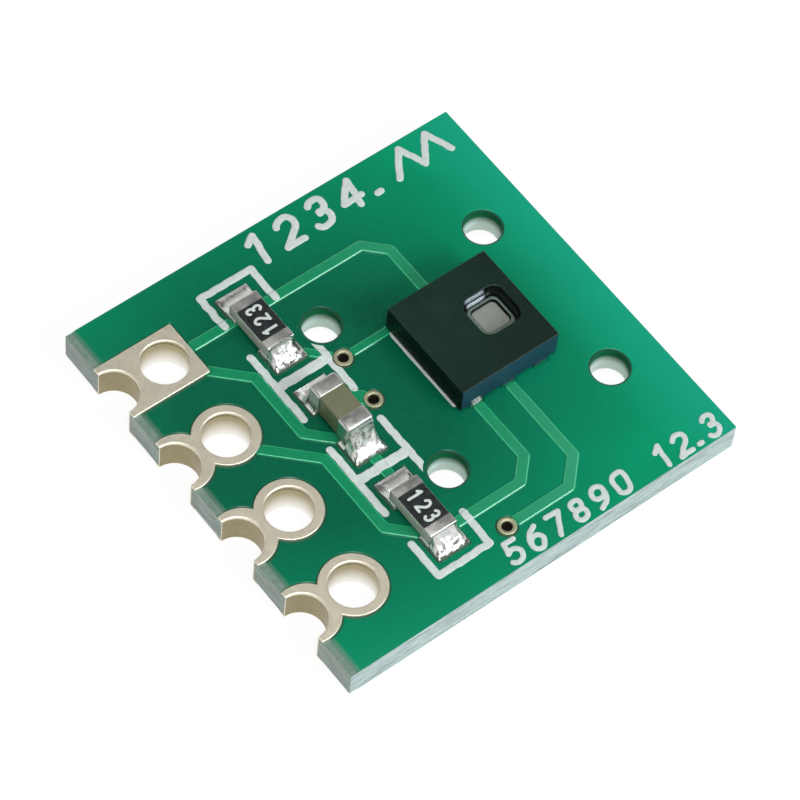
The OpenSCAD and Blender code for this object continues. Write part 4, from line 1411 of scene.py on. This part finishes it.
def unsteady(points, step, sway):
    """A stroke cut into short steps, each moved a little, as a worn screen prints it."""
    made = []
    for a, b in zip(points, points[1:]):
        count = max(1, round(math.dist(a, b) / step))
        made += [(a[0] + (b[0] - a[0]) * i / count, a[1] + (b[1] - a[1]) * i / count) for i in range(count)]
    made.append(points[-1])
    return [
        (x + sway * noise.noise(Vector((x, y, 1)) * 5), y + sway * noise.noise(Vector((x, y, 9)) * 5))
        for x, y in made
    ]


def build_print(name, strokes, pen_w, base, thickness, avoid, extra_loops=(), replaced=(), sway=0.03,
                steady=()):
    """Ink laid along strokes: a thin film with soft edges that follows the surface below. The
    steady strokes sway only slightly."""
    step, slight = 0.09, 0.008
    shapes = [Stroke(unsteady(q, step, sway), pen_w) for q in strokes]
    shapes += [Stroke(unsteady(q, step, slight), pen_w) for q in steady]
    soft = min(0.035, pen_w * 0.3)

    def top(p):
        t = np.clip(-nearest(shapes, p) / soft, 0, 1)
        return base(p) + thickness * (0.3 + 0.7 * np.sqrt(t))

    def fill(p):
        keep = nearest(shapes, p) < 0
        return [keep & (nearest(avoid, p) > 0)] if avoid else [keep]

    loops = outlines(shapes, 0.0, -soft * 0.4, -soft) + outlines(avoid, 0.0) + list(extra_loops)
    piece = layered(name, loops, [base, top], fill)
    return dress(piece, finish("ink"), "ink", *replaced)


class MODULE_OT_print(bpy.types.Operator):
    """Prints the brackets, the sensor's outline and the digits"""

    bl_idname = "module.print"
    bl_label = "Silkscreen"

    def execute(self, context):
        at = Layout()
        s = at.s
        w = s["silk"]
        cx = at.chip_x + s["silk_shift"]
        bracket_w, leg, bar_gap, side_line_cut, side_line_out = 1.55, 1.06, 0.3, 0.35, 0.05
        half, bar = bracket_w / 2, s["chip_reach"] + bar_gap
        strokes = []
        for k in range(3):
            for side in (-1, 1):
                y = at.chip_y(k)
                end, tip = y + side * bar, y + side * (bar - leg)
                strokes += [
                    [(cx - half, tip), (cx - half, end)],
                    [(cx - half, end), (cx + half, end)],
                    [(cx + half, end), (cx + half, tip)],
                ]
        reach = (at.sensor_high[1] - at.sensor_low[1] - side_line_cut) / 2 - w / 2
        beside_x = (at.sensor_low[0] + w / 2 - side_line_out, at.sensor_high[0] - w / 2 + side_line_out)
        beside = [[(x, at.sensor_y - reach), (x, at.sensor_y + reach)] for x in beside_x]
        vent_gap, via_gap = 0.11, 0.03
        avoid = [Disc(v.x, v.y, v.r + vent_gap, 72) for v in at.vents]
        avoid += [Disc(v.x, v.y, v.r + via_gap, 48) for v in at.via_shapes]
        tracks = at.top_tracks()
        side = s["mask_side"]
        ridges = outlines(tracks, 0.0, side * 0.5, side)
        build_print("printed_lines", strokes, w, at.mask_top, s["silk_t"], avoid, ridges,
                    ("silkscreen",), steady=beside)
        slant = math.tan(math.radians(9))
        pen_w = 0.19
        top = set_down(text_strokes("1234.", 1.0, 0.72, pen_w, slant, 0.95), -0.95, 4.64)
        zigzag = [(0.0, 0.0), (0.42, 0.76), (0.84, 0.0), (1.26, 0.76), (1.68, 0.0)]
        zigzag = [(x + slant * y, y) for x, y in zigzag]
        top += set_down(zip(zigzag, zigzag[1:]), 3.66, 4.8)
        build_print("printed_digits_top", top, pen_w, at.mask_top, s["silk_t"], avoid)
        height, width, pen_w, line_y = 0.72, 0.5, 0.14, -5.74
        low = set_down(text_strokes("567890", height, width, pen_w, slant, 0.665), -1.02, line_y)
        low += set_down(text_strokes("12.3", height, width, pen_w, slant, 0.6), 3.6, line_y)
        build_print("printed_digits_low", low, pen_w, at.mask_top, s["silk_t"], avoid)
        return {"FINISHED"}


# Stage

LAMPS = (
    # name, place, size, watts and tint; metres
    ("key", (0.064, -0.151, 0.115), (0.1, 0.075), 0.23, (0.86, 0.94, 1.0)),
    ("top", (-0.01, -0.01, 0.22), (0.14, 0.14), 0.15, (1.0, 0.99, 0.97)),
    ("glint", (-0.055, -0.078, 0.18), (0.05, 0.05), 0.12, (1.0, 1.0, 1.0)),
)
# The camera's axes and its place over the board's face in millimetres, as fitted to the outline
VIEW_RIGHT = (0.790554, -0.608876, 0.065537)
VIEW_DOWN = (-0.490334, -0.693463, -0.527902)
VIEW_AHEAD = (0.366875, 0.3852, -0.846773)
VIEW_PLACE = (-36.1348, -37.9958, 82.6102)


def area_light(name, place, size, watts, tint):
    """An area lamp that points at the middle of the board."""
    data = bpy.data.lights.new(name, "AREA")
    data.shape = "RECTANGLE"
    data.size, data.size_y = size
    data.energy = watts
    data.color = tint
    lamp = bpy.data.objects.new(name, data)
    lamp.location = place
    lamp.rotation_euler = (-Vector(place)).to_track_quat("-Z", "Y").to_euler()
    bpy.context.scene.collection.objects.link(lamp)


def floor_material():
    """White seamless paper: it shows white to the camera and in reflections, and keeps a
    faint shadow."""
    material = bpy.data.materials.new("White seamless paper")
    tree = empty_tree(material)
    paper = node(tree, "ShaderNodeBsdfDiffuse", {"Color": (0.85, 0.85, 0.85, 1)}).outputs[0]
    glow = node(tree, "ShaderNodeEmission", {"Color": (1, 1, 1, 1), "Strength": 1.07}).outputs[0]
    rays = node(tree, "ShaderNodeLightPath").outputs
    seen = maths(
        tree, "MAXIMUM", rays["Is Camera Ray"], rays["Is Glossy Ray"], rays["Is Transmission Ray"])
    share = maths(tree, "MULTIPLY", seen, 0.82)
    mix = node(tree, "ShaderNodeMixShader", {0: share, 1: paper, 2: glow})
    node(tree, "ShaderNodeOutputMaterial", {"Surface": mix.outputs[0]})
    return material


def build_world():
    """A dim room with a white backdrop all round, which ends below the ceiling."""
    world = bpy.data.worlds.new("Studio")
    bpy.context.scene.world = world
    tree = empty_tree(world)
    room = node(tree, "ShaderNodeBackground", {"Color": (1, 1, 1, 1), "Strength": 0.18}).outputs[0]
    white = node(tree, "ShaderNodeBackground", {"Color": (1, 1, 1, 1), "Strength": 1.0}).outputs[0]
    rays = node(tree, "ShaderNodeLightPath").outputs
    where = node(tree, "ShaderNodeTexCoord").outputs["Generated"]
    backdrop = between(tree, axis(tree, where, 2), 1, 0, 0.35, 0.65)
    mirrored = maths(tree, "MAXIMUM", rays["Is Glossy Ray"], rays["Is Transmission Ray"])
    mirrored = maths(tree, "MULTIPLY", mirrored, backdrop)
    seen = maths(tree, "MAXIMUM", rays["Is Camera Ray"], mirrored)
    mix = node(tree, "ShaderNodeMixShader", {0: seen, 1: room, 2: white})
    node(tree, "ShaderNodeOutputWorld", {"Surface": mix.outputs[0]})


class MODULE_OT_stage(bpy.types.Operator):
    """Sets the floor, the lights, the world and the camera"""

    bl_idname = "module.stage"
    bl_label = "Stage"

    def execute(self, context):
        scene = context.scene
        scene.view_settings.view_transform = "Standard"
        extent = 0.6
        corners = Rect((-extent, -extent), (extent, extent)).loops()[0]
        mesh = bpy.data.meshes.new("floor")
        mesh.from_pydata([(x, y, 0) for x, y in corners], [], [(0, 1, 2, 3)])
        floor = bpy.data.objects.new("floor", mesh)
        floor.data.materials.append(floor_material())
        scene.collection.objects.link(floor)
        build_world()
        for lamp in LAMPS:
            area_light(*lamp)
        data = bpy.data.cameras.new("camera")
        data.sensor_width = 36.0
        data.lens = 180.0
        data.clip_start, data.clip_end = 0.005, 5.0
        camera = bpy.data.objects.new("camera", data)
        turn = Matrix((VIEW_RIGHT, -Vector(VIEW_DOWN), -Vector(VIEW_AHEAD))).transposed()
        place = (Vector(VIEW_PLACE) + Vector((0, 0, Layout().mask_z))) * MM
        camera.matrix_world = Matrix.Translation(place) @ turn.to_4x4()
        scene.collection.objects.link(camera)
        scene.camera = camera
        return {"FINISHED"}


class MODULE_PT_panel(bpy.types.Panel):
    """Lists the pieces of the module"""

    bl_idname = "MODULE_PT_panel"
    bl_label = "Sensor Module"
    bl_space_type = "VIEW_3D"
    bl_region_type = "UI"
    bl_category = "Sensor Module"

    def draw(self, context):
        layout = self.layout
        for kind in OPERATORS:
            layout.operator(kind.bl_idname)
        for group in (context.scene.module_sizes, context.scene.module_colours):
            box = layout.box()
            for name in type(group).__annotations__:
                box.prop(group, name)


OPERATORS = (
    MODULE_OT_laminate, MODULE_OT_masks, MODULE_OT_lands, MODULE_OT_chips, MODULE_OT_solder,
    MODULE_OT_sensor, MODULE_OT_print, MODULE_OT_stage,
)
CLASSES = (ModuleSizes, ModuleColours, *OPERATORS, MODULE_PT_panel)


def register():
    for kind in CLASSES:
        bpy.utils.register_class(kind)
    bpy.types.Scene.module_sizes = PointerProperty(type=ModuleSizes)
    bpy.types.Scene.module_colours = PointerProperty(type=ModuleColours)


def unregister():
    del bpy.types.Scene.module_colours
    del bpy.types.Scene.module_sizes
    for kind in reversed(CLASSES):
        bpy.utils.unregister_class(kind)


def main():
    register()
    for kind in OPERATORS:
        group, name = kind.bl_idname.split(".")
        getattr(getattr(bpy.ops, group), name)()


if __name__ == "__main__":
    main()
